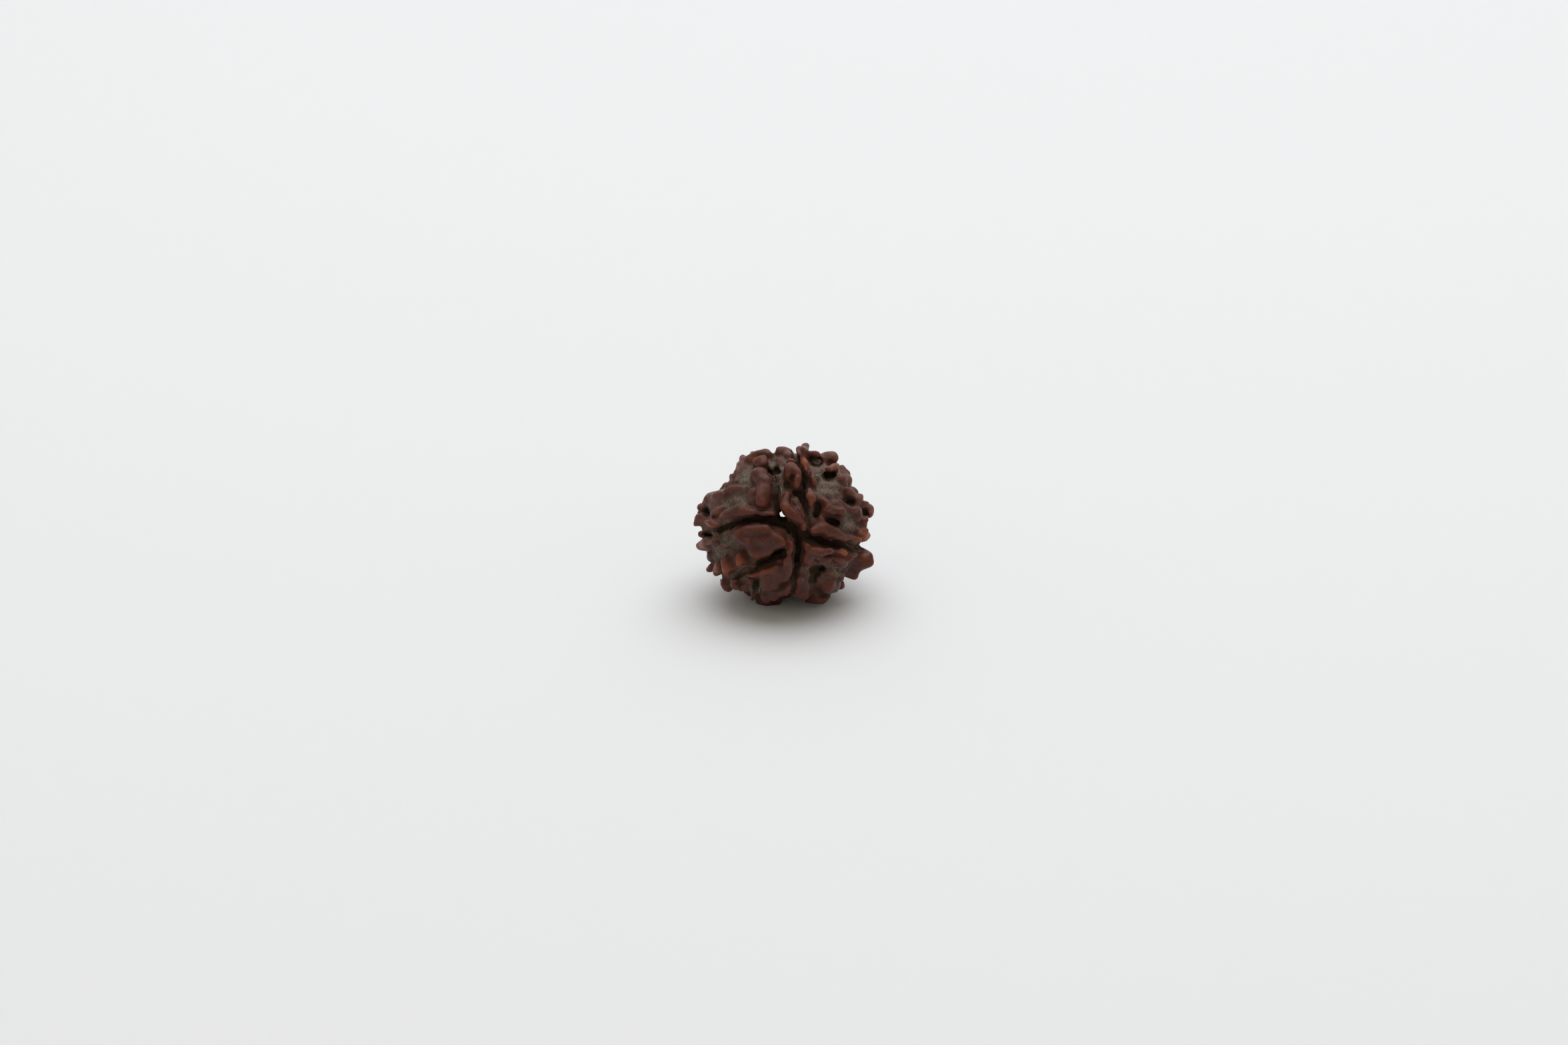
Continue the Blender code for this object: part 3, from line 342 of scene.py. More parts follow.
# Seams run from the bore's mouth to the rim, and on round the back to the other pole. Each is
# the points of its front part, (x, y, half width, depth below the core).
seams = [
    [
        (0.2, 0.2, 0.52, 2.4),
        (-1.2, 0.45, 0.5, 2.4),
        (-2.8, 0.75, 0.36, 2.4),
        (-4.4, 0.4, 0.3, 2.0),
        (-5.9, 0.05, 0.22, 1.0),
        (-7.3, -0.6, 0.18, 0.0),
        (-8.9, -0.7, 0.12, -0.9),
    ],
    [
        (0.3, -3.1, 0.22, 1.8),
        (-0.2, -3.25, 0.32, 2.0),
        (-1.2, -3.8, 0.3, 1.8),
        (-2.6, -4.55, 0.22, 1.0),
        (-4.0, -5.2, 0.16, 0.2),
        (-5.7, -5.7, 0.14, -0.4),
        (-7.15, -5.65, 0.12, -0.9),
    ],
    [
        (1.2, -0.6, 0.46, 2.4),
        (1.75, -2.0, 0.36, 2.4),
        (1.72, -3.4, 0.34, 2.4),
        (1.6, -4.7, 0.28, 1.8),
        (1.25, -5.6, 0.12, 0.2),
        (1.03, -6.6, 0.07, -1.1),
        (0.85, -8.2, 0.12, -0.2),
    ],
    [
        (1.8, -1.6, 0.25, 2.0),
        (3.2, -1.65, 0.12, 1.0),
        (4.4, -2.0, 0.33, 2.0),
        (5.6, -2.15, 0.38, 2.0),
        (6.9, -2.4, 0.22, 1.2),
        (8.0, -2.6, 0.15, -0.2),
        (9.3, -2.4, 0.12, -0.1),
    ],
    [
        (2.9, -0.2, 0.12, 0.0),
        (2.75, 0.8, 0.12, -0.5),
        (2.5, 1.9, 0.18, 0.2),
        (2.3, 3.2, 0.24, 1.2),
        (2.45, 4.2, 0.15, 0.0),
        (2.35, 5.0, 0.2, 1.0),
        (1.85, 6.0, 0.14, -0.2),
        (1.5, 6.9, 0.14, 0.0),
        (1.35, 8.8, 0.14, -0.4),
    ],
    [
        (-0.6, 1.5, 0.3, 1.6),
        (-0.9, 3.0, 0.3, 0.4),
        (-1.0, 4.3, 0.25, 0.0),
        (-1.1, 5.6, 0.2, -0.2),
        (-1.0, 6.8, 0.12, -0.6),
        (-1.3, 8.9, 0.12, -0.9),
    ],
]

# The bore's mouth opens below into a hollow where the seams meet.
mouth = [
    ((-0.1, 0.75, 5.5), (-0.1, 0.75, 10.5), 0.45),
    ((0.9, -0.35, 6.2), (0.9, -0.35, 10.5), 0.7),
    ((1.7, -0.9, 6.6), (1.7, -0.9, 10.5), 0.5),
    ((0.05, 1.4, -6.0), (0.05, 1.4, -11.0), 1.0),
]

# Each pit is a round-ended hole (x, y) to (x, y), its radius, and the z that it is drilled to.
pits = [
    ((-9.35, 1.8), (-9.25, 1.35), 0.3, 0.4),
    ((-9.4, -1.15), (-8.8, -1.3), 0.33, 0.2),
    ((-1.9, 6.8), (-1.4, 6.2), 0.22, 4.5),
    ((-0.75, 6.55), (-0.65, 6.35), 0.28, 4.5),
    ((3.5, 8.0), (4.3, 7.8), 0.42, -1.2),
    ((3.8, 7.55), (4.2, 7.5), 0.35, -0.6),
    ((5.0, 6.1), (5.9, 6.05), 0.3, 2.2),
    ((5.1, 5.75), (5.6, 5.7), 0.26, 2.4),
    ((7.75, 2.9), (8.4, 2.65), 0.34, 2.1),
    ((4.15, 2.5), (4.0, 1.1), 0.26, 6.8),
    ((5.5, 0.65), (5.9, 0.55), 0.34, 5.6),
    ((5.9, 0.5), (6.6, 0.35), 0.22, 5.4),
    ((2.6, -1.0), (2.9, -1.0), 0.28, 6.4),
    ((3.4, -5.4), (4.8, -5.2), 0.32, 3.8),
    ((3.6, -5.8), (4.2, -5.85), 0.38, 3.8),
    ((3.5, -6.3), (3.65, -6.9), 0.24, 3.6),
    ((0.35, 5.2), (0.5, 4.6), 0.36, 7.0),
    ((1.5, 3.8), (1.9, 3.75), 0.28, 6.5),
    ((10.0, 1.65), (9.95, 1.5), 0.28, 0.6),
    ((-3.2, -6.8), (-3.3, -8.2), 0.36, 2.2),
]

# The rest of the knuckles fill the sides and the back by a seeded rule
wild = {
    "tries": 6000,
    "spacing": (1.5, 2.3),
    "radius": (0.6, 1.0),
    "proud": (1.3, 2.1),
    "length": (0.4, 2.6),
    "taper": (0.6, 1.0),
    "bend": (-0.6, 0.6),       # of the middle, as a share of half the length
    "front": -1.0,             # they stay behind this z
    "seamClearance": 0.8,
    "frontClearance": 1.1,
    "frontLift": 0.8,          # over the egg, where that clearance is measured
    "rimHeight": ([-4.5, -1.0], [1.0, 0.65]),
    "nearSeam": 2.2,           # nearer than this, they point at the seam
}


def fullness(points):
    # 1 all over the egg, and less by the exponent of how squarely a point faces the shoulder
    facing = unit(points) @ bead["shoulder"]
    return 1 - bead["shoulderDepth"] * np.exp((facing - 1) / bead["shoulderSpread"])


def coreDistance(points):
    # about the distance to the egg: its level set's value over its slope
    points = points / fullness(points)[..., None]
    level = np.linalg.norm(points / bead["coreHalf"], axis=-1)
    slope = np.linalg.norm(points / bead["coreHalf"]**2, axis=-1)
    return level * (level - 1) / np.maximum(slope, tiny)


def onFront(x, y, lift):
    # the point of the front half seen at x, y, on the egg grown by lift
    half = bead["coreHalf"] + lift
    inside = max(0.0, 1 - (x / half[0]) ** 2 - (y / half[1]) ** 2)
    return np.array([x, y, half[2] * math.sqrt(inside)])


def onCore(direction, lift):
    # the point in this direction on the egg grown by lift
    return direction * fullness(direction) / np.linalg.norm(direction / (bead["coreHalf"] + lift))


def onFloor(right, back, height):
    # a point over the floor, turned back by the lean into the bead's frame
    sine, cosine = math.sin(bead["lean"]), math.cos(bead["lean"])
    drop = height - bead["floorBelowMiddle"]
    return np.array([right, back * sine + drop * cosine, drop * sine - back * cosine])


def fromSegment(points, a, b):
    # each point's offset from its nearest point of the segment, and how far along that is
    along = b - a
    share = np.clip((points - a) @ along / max(along @ along, tiny), 0, 1)
    return points - a - share[..., None] * along, share


def rodDistance(points, a, b, radiusA, radiusB):
    # distance to a segment, less a radius that changes evenly along it
    offset, share = fromSegment(points, a, b)
    return np.linalg.norm(offset, axis=-1) - radiusA - share * (radiusB - radiusA)


def ridgeDistance(points, a, b, radiusA, radiusB):
    # a rod over its crest line, and below it a wall that runs down to the egg and flares
    offset, share = fromSegment(points, a, b)
    up = (a + b) / np.linalg.norm(a + b)
    height = offset @ up
    aside = np.sqrt(np.maximum((offset**2).sum(axis=-1) - height**2, 0))
    radius = radiusA + share * (radiusB - radiusA) + bead["skirtFlare"] * np.maximum(-height, 0)
    return np.hypot(aside, np.maximum(height, 0)) - radius


def blendMin(one, other, width):
    # the lesser distance, rounded by a parabola where the two are within width of each other
    share = np.clip(0.5 + 0.5 * (other - one) / width, 0, 1)
    return other + (one - other) * share - width * share * (1 - share)


def waves(points, columns, height, length):
    # each column is a sum of six sine waves in seeded directions
    rng = np.random.default_rng(bead["seed"])
    values = np.zeros((*points.shape[:-1], columns))
    for column in range(columns):
        for share in (1.0, 0.9, 0.8, 0.6, 0.5, 0.45):
            heading = rng.normal(size=3)
            wave = heading / np.linalg.norm(heading) * 2 * math.pi / (length * share)
            values[..., column] += height * share * np.sin(points @ wave + rng.uniform(0, 2 * math.pi))
    return values


class Field:
    # distances at the points of a grid: to the nearest knuckle, the next one, and the skin

    def __init__(self, voxel):
        reach = bead["coreHalf"] + bead["knuckleReach"]
        self.voxel = voxel
        self.low = -reach
        steps = [np.arange(-r, r + voxel, voxel) for r in reach]
        self.points = np.stack(np.meshgrid(*steps, indexing="ij"), axis=-1)
        self.points += waves(self.points, 3, bead["wander"], bead["wanderLength"])
        self.nearest = np.full(self.points.shape[:-1], far)
        self.next = self.nearest.copy()
        self.merged = np.zeros_like(self.nearest)
        self.rough = waves(self.points, 1, bead["cutRoughness"], bead["cutRoughLength"])[..., 0]
        self.distance = None

    def near(self, ends, margin):
        low = (np.min(ends, axis=0) - margin - self.low) / self.voxel
        high = (np.max(ends, axis=0) + margin - self.low) / self.voxel
        return tuple(slice(max(0, int(a)), max(1, int(b) + 2)) for a, b in zip(low, high))

    def knuckle(self, strokes):
        # the least distance to its strokes, kept beside the next knuckle's
        block = self.near([at for stroke in strokes for at, _ in stroke], bead["knuckleReach"])
        points = self.points[block]
        ridge = np.full(points.shape[:-1], far)
        for stroke in strokes:
            for (a, radiusA), (b, radiusB) in zip(stroke, stroke[1:] or stroke):
                ridge = blendMin(ridge, ridgeDistance(points, a, b, radiusA, radiusB), bead["strokeBlend"])
        self.next[block] = np.minimum(self.next[block], np.maximum(self.nearest[block], ridge))
        self.nearest[block] = np.minimum(self.nearest[block], ridge)
        self.merged[block] += np.exp(-ridge / bead["knuckleBlend"])

    def join(self):
        # the log of summed exponents melts the knuckles together, then comes a bell-shaped crease
        # where two are equally near, then the egg and a slow swell
        knuckles = -bead["knuckleBlend"] * np.log(np.maximum(self.merged, bead["mergedLeast"]))
        apart = (self.next - self.nearest) / bead["creaseWidth"]
        crease = bead["creaseDepth"] * np.exp(-apart**2)
        valleys = coreDistance(self.points) - bead["valleyFill"]
        self.distance = blendMin(valleys, knuckles + crease, bead["coreBlend"])
        self.distance += waves(self.points, 1, bead["swell"], bead["swellLength"])[..., 0]

    def cut(self, a, b, radiusA, radiusB):
        block = self.near([a, b], max(radiusA, radiusB) + bead["cutBlend"] + bead["cutMargin"])
        rod = rodDistance(self.points[block], a, b, radiusA, radiusB) + self.rough[block]
        self.distance[block] = -blendMin(-self.distance[block], rod, bead["cutBlend"])


def frontKnuckles():
    lobes = upperLeftLobe + topLobe + rightLobe + lowerRightLobe + bottomLobe + lowerLeftLobe
    return [
        [[(onFront(x, y, proud - r), r) for x, y, r in stroke] for stroke in strokes]
        for proud, *strokes in lobes
    ]


def seamPath(front, backAngle):
    # its front points, then an arc round the back whose azimuth eases to backAngle, each with
    # its half width and depth
    path = [(onFront(x, y, 0.0), halfWidth, depth) for x, y, halfWidth, depth in front]
    rim = path[-1][0] / np.linalg.norm(path[-1][0])
    rimAngle = math.atan2(rim[1], rim[0])
    start = math.acos(rim[2])
    turn = (backAngle - rimAngle + math.pi) % (2 * math.pi) - math.pi
    for share in np.linspace(0, 1, bead["seamBackPoints"])[1:]:
        polar = start + share * (math.radians(bead["seamEnd"]) - start)
        angle = rimAngle + share * turn
        flat = math.sin(polar)
        direction = np.array([flat * math.cos(angle), flat * math.sin(angle), math.cos(polar)])
        depth = np.interp(math.degrees(polar), bead["seamDeepens"], (front[-1][3], bead["backSeamDepth"]))
        path.append((onCore(direction, 0.0), bead["backSeamWidth"], depth))
    return path


def seamPaths():
    # the seams' azimuths are spread evenly at the rear pole, in the order they have at the rim
    rims = [math.atan2(front[-1][1], front[-1][0]) % (2 * math.pi) for front in seams]
    order = sorted(range(len(seams)), key=lambda i: rims[i])
    mean = np.unwrap([rims[i] for i in order]).mean() - math.pi * 5 / 6
    paths = [None] * len(seams)
    for place, i in enumerate(order):
        paths[i] = seamPath(seams[i], mean + place * math.pi / 3)
    return paths


def wildKnuckles(paths, placed):
    # seeded directions, kept where they are far enough from each other, a seam and the front
    rng = np.random.default_rng(bead["seed"])
    seamPoints = np.array([at for path in paths for at, _, _ in path])
    front = np.array([at for strokes in placed for stroke in strokes for at, _ in stroke])
    found = [front[0]]
    made = []
    for _ in range(wild["tries"]):
        direction = rng.normal(size=3)
        direction /= np.linalg.norm(direction)
        heading = rng.normal(size=3)
        size, proud, length, taper, bend = rng.uniform(0, 1, 5)
        at = onCore(direction, 0.0)
        toSeam = seamPoints - at
        toSeam = toSeam[np.argmin(np.linalg.norm(toSeam, axis=1))]
        toFound = np.linalg.norm(np.array(found) - at, axis=1).min()
        toFront = np.linalg.norm(front - onCore(direction, wild["frontLift"]), axis=1).min()
        crowded = toFound < np.interp(size, (0, 1), wild["spacing"])
        blocked = toFront < wild["frontClearance"] or np.linalg.norm(toSeam) < wild["seamClearance"]
        if at[2] > wild["front"] or crowded or blocked:
            continue
        found.append(at)
        if np.linalg.norm(toSeam) < wild["nearSeam"]:
            heading = toSeam
        along = heading - (heading @ direction) * direction
        along *= np.interp(length**1.5, (0, 1), wild["length"]) / np.linalg.norm(along) / 2
        radius = np.interp(size, (0, 1), wild["radius"])
        tip = radius * np.interp(taper, (0, 1), wild["taper"])
        lift = np.interp(proud, (0, 1), wild["proud"]) * np.interp(at[2], *wild["rimHeight"]) - radius
        aside = np.cross(direction, along) * np.interp(bend, (0, 1), wild["bend"])
        stroke = [(at - along, radius), (at + aside, (radius + tip) / 2), (at + along, tip)]
        made.append([[(onCore(point, lift), r) for point, r in stroke]])
    return made


def smoothed(distance):
    # each value averaged with its neighbours, a quarter, a half and a quarter along each axis
    for axis in range(3):
        distance = distance / 2 + (np.roll(distance, 1, axis) + np.roll(distance, -1, axis)) / 4
    return distance


def fillField(voxel):
    field = Field(voxel)
    placed = frontKnuckles()
    paths = seamPaths()
    for strokes in placed + wildKnuckles(paths, placed):
        field.knuckle(strokes)
    for x, y, z, radius in rimKnuckles:
        crest = np.array([x, y, z])
        field.knuckle([[(crest, radius), (crest - [0, 0, radius], radius)]])
    for foot in feet:
        field.knuckle([[(onFloor(x, y, radius - bead["footSink"]), radius) for x, y, radius in foot]])
    field.join()
    field.uncut = field.distance.copy()
    for path in paths:
        for (a, widthA, depthA), (b, widthB, depthB) in zip(path, path[1:]):
            lowA = 1 - depthA / bead["coreHalf"][2]
            lowB = 1 - depthB / bead["coreHalf"][2]
            for share in np.arange(0, 1, bead["seamStep"] / (bead["seamOver"] - min(lowA, lowB))):
                atA = a * (bead["seamOver"] + (lowA - bead["seamOver"]) * share)
                atB = b * (bead["seamOver"] + (lowB - bead["seamOver"]) * share)
                field.cut(atA, atB, widthA, widthB)
    for start, end, radius, floor in pits:
        for z in np.arange(floor, bead["pitTop"], radius):
            field.cut(np.array([*start, z]), np.array([*end, z]), radius, radius)
    for a, b, radius in mouth:
        field.cut(np.array(a), np.array(b), radius, radius)
    field.cut(bead["boreFront"], bead["boreBack"], bead["boreRadius"], bead["boreRadius"])
    field.distance = smoothed(field.distance)
    return field


def largestShell(count, quads):
    # joined corners take the least label among them until none changes
    label = np.arange(count)
    while True:
        spread = label.copy()
        np.minimum.at(spread, quads.ravel(), np.repeat(label[quads].min(axis=1), 4))
        spread = spread[spread]
        if (spread == label).all():
            break
        label = spread
    kept = np.bincount(label[quads[:, 0]]).argmax()
    return label[quads[:, 0]] == kept


def skin(field):
    # the surface where the distance is zero, as points in the bead's frame and quads
    grid = openvdb.FloatGrid()
    grid.copyFromArray(field.distance.astype(np.float32))
    points, quads = grid.convertToQuads(isovalue=0.0)
    quads = quads[largestShell(len(points), quads)]
    used, index = np.unique(quads, return_inverse=True)
    return points[used] * field.voxel + field.low, index.reshape(-1, 4)


def leanBack(points):
    # a turn about x by the lean, then up by the middle's height
    sine, cosine = math.sin(bead["lean"]), math.cos(bead["lean"])
    x, y, z = points.T
    return np.stack([x, y * sine - z * cosine, y * cosine + z * sine + bead["floorBelowMiddle"]], axis=1)


def meshNormals(points, quads):
    # the sum of the quads' crossed diagonals round each point
    a, b, c, d = points[quads].transpose(1, 0, 2)
    facing = np.cross(c - a, d - b)
    total = np.zeros_like(points)
    for corner in range(4):
        np.add.at(total, quads[:, corner], facing)
    return unit(total)


def relaxed(values, quads, rounds):
    # each point's value averaged over the quads round it, again and again
    counts = np.bincount(quads.ravel(), minlength=len(values))
    for _ in range(rounds):
        mean = values[quads].mean(axis=1)
        total = np.zeros_like(values)
        for corner in range(4):
            np.add.at(total, quads[:, corner], mean)
        values = total / (counts[:, None] if values.ndim > 1 else counts)
    return values


def sampled(grid, field, points):
    # the grid's value at each point, blended between the eight corners round it
    where = np.clip((points - field.low) / field.voxel, 0, np.array(grid.shape) - 1.001)
    cell = where.astype(int)
    share = where - cell
    total = np.zeros(len(points))
    for corner in np.ndindex(2, 2, 2):
        weight = np.prod(np.where(corner, share, 1 - share), axis=1)
        i, j, k = (cell + corner).T
        total += weight * grid[i, j, k]
    return total


# What the finer surface adds to the CAD form, in millimetres
grain = {
    "dentSize": 1.5,              # broad dents on the knuckles
    "dentHeight": 0.1,
    "rippleSize": 0.7,            # finer ripples over them
    "rippleHeight": 0.07,
    "fraySize": 0.42,             # torn fibre in the hollows
    "frayHeight": 0.13,
    "frayMiddle": 0.3,            # taken off the folds, so that they stand out and sink in alike
    "frayFine": 0.5,              # share of the folds' half-size part
    "hollowShare": 0.5,           # of the dents and ripples that the torn fibre takes away
    "seed": 41,
}

# How dust, pulp, painted top light and a painted glow at thin edges lie over it
wearAndLight = {
    "probes": (0.35, 0.8, 1.6, 2.8),    # mm out that a point looks to find how shut in it is
    "hollowBelow": (0.2, 1.1),          # mm over the egg where torn pulp gives way to dense stone
    "hollowDust": 0.65,
    "crestAbove": (0.9, 1.7),           # mm over the egg where a dusty place is rubbed clean
    "crestClean": 0.8,
    "frontFrom": (-4.0, -1.5),          # z where the front's places come in
    "patchSize": 2.4,                   # mm, of the patches that the rest has
    "backDust": 0.7,
    "backDustPatch": (0.45, 0.7),
    "backAmber": 0.45,
    "backAmberPatch": (0.7, 0.95),
    "topLightSlope": (0.2, 1.0),            # the upward part of the normal
    "topLightShare": (0.2, 0.6),            # on what faces up, in front and behind
    "dustAndLightPlaceShare": 0.8,                 # more in the places listed for fine dust and painted light
    "dustAndTopLightShut": (0.35, 0.6),            # how shut in a point is where the painted top light and dust end
}

# Where dust and torn pulp lie thickest on the front, as (x, y, radius, strength)
dustyPlaces = [
    (-4.6, 5.5, 1.1, 1.0),
    (-5.2, 3.0, 1.2, 0.9),
    (-6.6, 2.4, 0.8, 0.7),
    (-1.5, 7.1, 0.8, 0.9),
    (-0.3, 6.5, 0.9, 0.7),
    (0.3, 7.6, 0.6, 0.5),
    (5.6, 4.5, 1.4, 1.0),
    (4.2, 5.8, 0.7, 0.7),
    (4.2, 6.9, 0.7, 0.8),
    (8.0, -0.2, 1.1, 0.9),
    (7.6, 1.0, 0.8, 0.6),
    (-3.4, -7.7, 0.9, 1.0),
    (-7.0, 0.3, 1.0, 0.8),
    (-7.4, -2.4, 1.3, 0.9),
    (-7.9, -3.6, 0.8, 0.8),
    (6.4, -5.7, 0.9, 0.8),
    (8.6, -2.8, 0.8, 0.8),
    (-2.0, -5.9, 1.2, 0.4),
    (3.2, 2.0, 0.7, 0.5),
    (1.7, 3.0, 0.7, 0.5),
    (-5.0, -6.2, 0.8, 0.6),
]

# Where orange is painted on thin edges for the light let through them, as (x, y, radius, strength)
amberGlowPlaces = [
    (7.4, -3.3, 0.6, 1.0),
    (-5.3, -4.6, 0.6, 0.7),
    (-3.6, 8.1, 0.4, 0.8),
    (-1.2, 7.0, 0.3, 0.6),
    (2.6, 7.6, 0.8, 1.0),
    (-10.3, -2.4, 0.7, 0.65),
    (10.0, -1.4, 0.8, 1.0),
    (9.2, -1.6, 0.5, 0.5),
    (-7.9, 1.1, 0.4, 0.6),
    (6.1, 7.0, 0.6, 0.5),
    (10.7, 1.8, 0.5, 0.5),
    (-6.9, -5.3, 0.7, 0.7),
    (-8.3, -5.4, 0.6, 0.7),
    (4.0, -3.1, 0.6, 0.2),
    (-2.5, -5.2, 1.2, 0.4),
    (5.8, -7.3, 0.7, 0.2),
    (-9.0, 0.0, 0.6, 0.4),
    (0.4, 2.2, 0.5, 0.5),
    (3.4, 3.0, 0.4, 0.4),
    (10.3, -4.0, 0.8, 0.4),
]


# Where the knuckles are painted paler, as fine dust and painted light on them, as (x, y, radius, strength)
dustAndLightPlaces = [
    (5.9, 8.0, 1.5, 1.0),
    (-8.0, 2.6, 1.0, 0.9),
    (0.6, 8.9, 1.0, 0.5),
    (-6.2, 7.2, 0.8, 0.4),
    (5.2, 5.2, 1.2, 1.0),
    (3.6, 4.0, 0.8, 0.5),
    (9.0, 3.2, 1.0, 0.7),
    (8.3, 5.0, 0.8, 0.7),
    (-1.6, 4.8, 0.8, 0.4),
    (-10.3, 0.4, 0.8, 0.6),
]


def nearPlaces(points, places):
    # the greatest of the bells round these places, seen from the front
    total = np.zeros(len(points))
    for x, y, radius, strength in places:
        square = ((points[:, :2] - (x, y)) ** 2).sum(axis=1)
        total = np.maximum(total, strength * np.exp(-square / radius**2))
    return total * smoothStep(*wearAndLight["frontFrom"], points[:, 2])


def shutIn(field, points, normals):
    # the field grows a millimetre for each millimetre out in the open, and less in a hollow
    probes = [sampled(field.distance, field, points + normals * out) / out for out in wearAndLight["probes"]]
    return 1 - np.clip(probes, 0, 1).mean(axis=0)


def coverage(points, height):
    # dust in the hollows and the dusty places, a painted orange glow in its own places, and dust and amber
    # tone in patches behind
    patchy = 0.5 + 0.5 * valueNoise(points, wearAndLight["patchSize"], grain["seed"] + 4)
    behind = 1 - smoothStep(*wearAndLight["frontFrom"], points[:, 2])
    hollow = 1 - smoothStep(*wearAndLight["hollowBelow"], height)
    crest = smoothStep(*wearAndLight["crestAbove"], height)
    dusty = nearPlaces(points, dustyPlaces)
    dusty += wearAndLight["backDust"] * behind * smoothStep(*wearAndLight["backDustPatch"], patchy)
    dust = np.clip(wearAndLight["hollowDust"] * hollow + dusty * (1 - wearAndLight["crestClean"] * crest), 0, 1)
    amberGlow = nearPlaces(points, amberGlowPlaces)
    amberGlow += wearAndLight["backAmber"] * behind * smoothStep(*wearAndLight["backAmberPatch"], 1 - patchy)
    return dust, amberGlow, behind


def relief(points, dust):
    # broad dents and finer ripples, and where dust lies the folds of a noise's absolute value
    dent = valueNoise(points, grain["dentSize"], grain["seed"]) * grain["dentHeight"]
    ripple = valueNoise(points, grain["rippleSize"], grain["seed"] + 1) * grain["rippleHeight"]
    fray = np.abs(valueNoise(points, grain["fraySize"], grain["seed"] + 2)) - grain["frayMiddle"]
    fray += grain["frayFine"] * valueNoise(points, grain["fraySize"] / 2, grain["seed"] + 3)
    return (dent + ripple) * (1 - grain["hollowShare"] * dust) + fray * grain["frayHeight"] * dust


def paintedTopLightAndDust(front, facing, behind, shut):
    # painted top light with dust on what faces up and is open, and more of it in the listed places
    least, most = wearAndLight["topLightShare"]
    dustAndTopLight = smoothStep(*wearAndLight["topLightSlope"], facing[:, 2]) * (least + (most - least) * behind)
    dustAndTopLight = np.clip(dustAndTopLight + wearAndLight["dustAndLightPlaceShare"] * nearPlaces(front, dustAndLightPlaces), 0, 1)
    return dustAndTopLight * (1 - smoothStep(*wearAndLight["dustAndTopLightShut"], shut))


def buildStone():
    field = fillField(bead["voxel"])
    points, quads = skin(field)
    print("Stone's skin:", len(points), "points,", 2 * len(quads), "triangles")
    normals = meshNormals(points, quads)
    shut = relaxed(shutIn(field, points, normals), quads, 2)
    carved = relaxed(-sampled(field.uncut, field, points), quads, 2)
    height = relaxed(coreDistance(points), quads, 3)
    dust, amberGlow, behind = coverage(points, height)
    points = points + normals * relief(points, dust)[:, None]

    # how far a point lies over the evened surface round it
    proud = ((points - relaxed(points, quads, 4)) * normals).sum(axis=1)

    front = points
    points = leanBack(points)
    points[:, 2] = np.maximum(points[:, 2], 0)
    middle = (beadBox[0] + beadBox[1])[:2] / 2
    shift = middle - (points[:, :2].min(axis=0) + points[:, :2].max(axis=0)) / 2
    points[:, :2] += shift

    normals = meshNormals(points, quads)
    dustAndTopLight = paintedTopLightAndDust(front, relaxed(normals, quads, 3), behind, shut)

    mesh = bpy.data.meshes.new("rudraksha_stone")
    mesh.from_pydata((points * mm).tolist(), [], quads.tolist())
    layers = {"dust": dust, "dustAndTopLight": dustAndTopLight, "amberGlow": amberGlow, "proud": proud, "shut": shut, "carved": carved}
    for name, values in layers.items():
        layer = mesh.attributes.new(name, "FLOAT", "POINT")
        layer.data.foreach_set("value", values.astype(np.float32))
    mesh.shade_smooth()
    stone = bpy.data.objects.new("rudraksha_stone", mesh)
    bpy.context.scene.collection.objects.link(stone)
    surface = {"front": front, "points": points, "normals": normals, "dust": dust, "shut": shut}
    return stone, surface, shift


stoneFinish = {
    "body": "#512618",               # dried, slightly waxed fruit stone
    "dark": "#331711",
    "rubbedHighlight": "#6C3323",               # rubbed crests, lighter as wear and as a painted highlight
    "amberGlow": "#8C431E",              # painted orange glow of light through thin tips
    "dustAndTopLight": "#87594A",               # fine dust with painted top light on what faces up
    "dirt": "#3E2A22",               # under the dust
    "dust": "#6F6256",               # dried pulp and dust in the hollows
    "fibre": "#B4A894",
    "speck": "#A59C90",              # grains of pale dust
    "deepShade": "#4C372A",               # painted shade in seams, pits and shut-in hollows, with some dirt
    "mottleSize": 1.7,               # mm, of the lighter and darker patches
    "fleckSize": 0.22,               # mm, of the flecks in them
    "poreSize": 0.45,                # mm between the pores of the waxed wood
    "noiseDetail": 7,
    "noiseRoughness": 0.68,
    "fibreSize": 0.38,               # mm between the dried fibres
    "fibreDetail": 4,
    "fibreDistortion": 1.2,
    "speckSize": 0.09,               # mm
    "speckDetail": 3,
    "fleckShare": 0.6,               # of the flecks in the body's tone
    "darkToBody": (0.66, 0.94),      # the tone's values, from all dark to all body
    "rubbedHighlightProud": (0.0, 0.08),      # mm over what is round it, from none to all rubbed and highlit
    "rubbedHighlightFlecks": (0.35, 0.65, 0.25),
    "amberGlowPatches": (0.3, 0.55, 0.6),        # the mottle's values, then the least share
    "dustAndTopLightPatches": (0.3, 0.7, 0.35, 0.7),    # and the greatest
    "dustPatches": (0.35, 0.6, 0.45),
    "dustFlecks": (0.3, 0.68),
    "fibreRidges": (0.7, 0.92),
    "speckLeast": (0.68, 0.46),      # the noise's value over which there is a grain, clean and dusty
    "speckEdge": 0.22,
    "speckCover": 0.6,
    "shutDeep": (0.5, 0.85),         # how shut in a point is, from none to all painted shade
    "carvedDeep": (0.25, 1.1),       # mm under the uncut form
    "roughPatches": (0.35, 0.65),
    "roughness": (0.34, 0.55),
    "dustRoughness": 0.95,
    "poreDepth": 0.05,               # mm
    "poreBump": 0.6,
    "frayDepth": 0.14,               # mm
    "frayBump": 0.8,
    "specular": 0.27,
    "ior": 1.5,
}


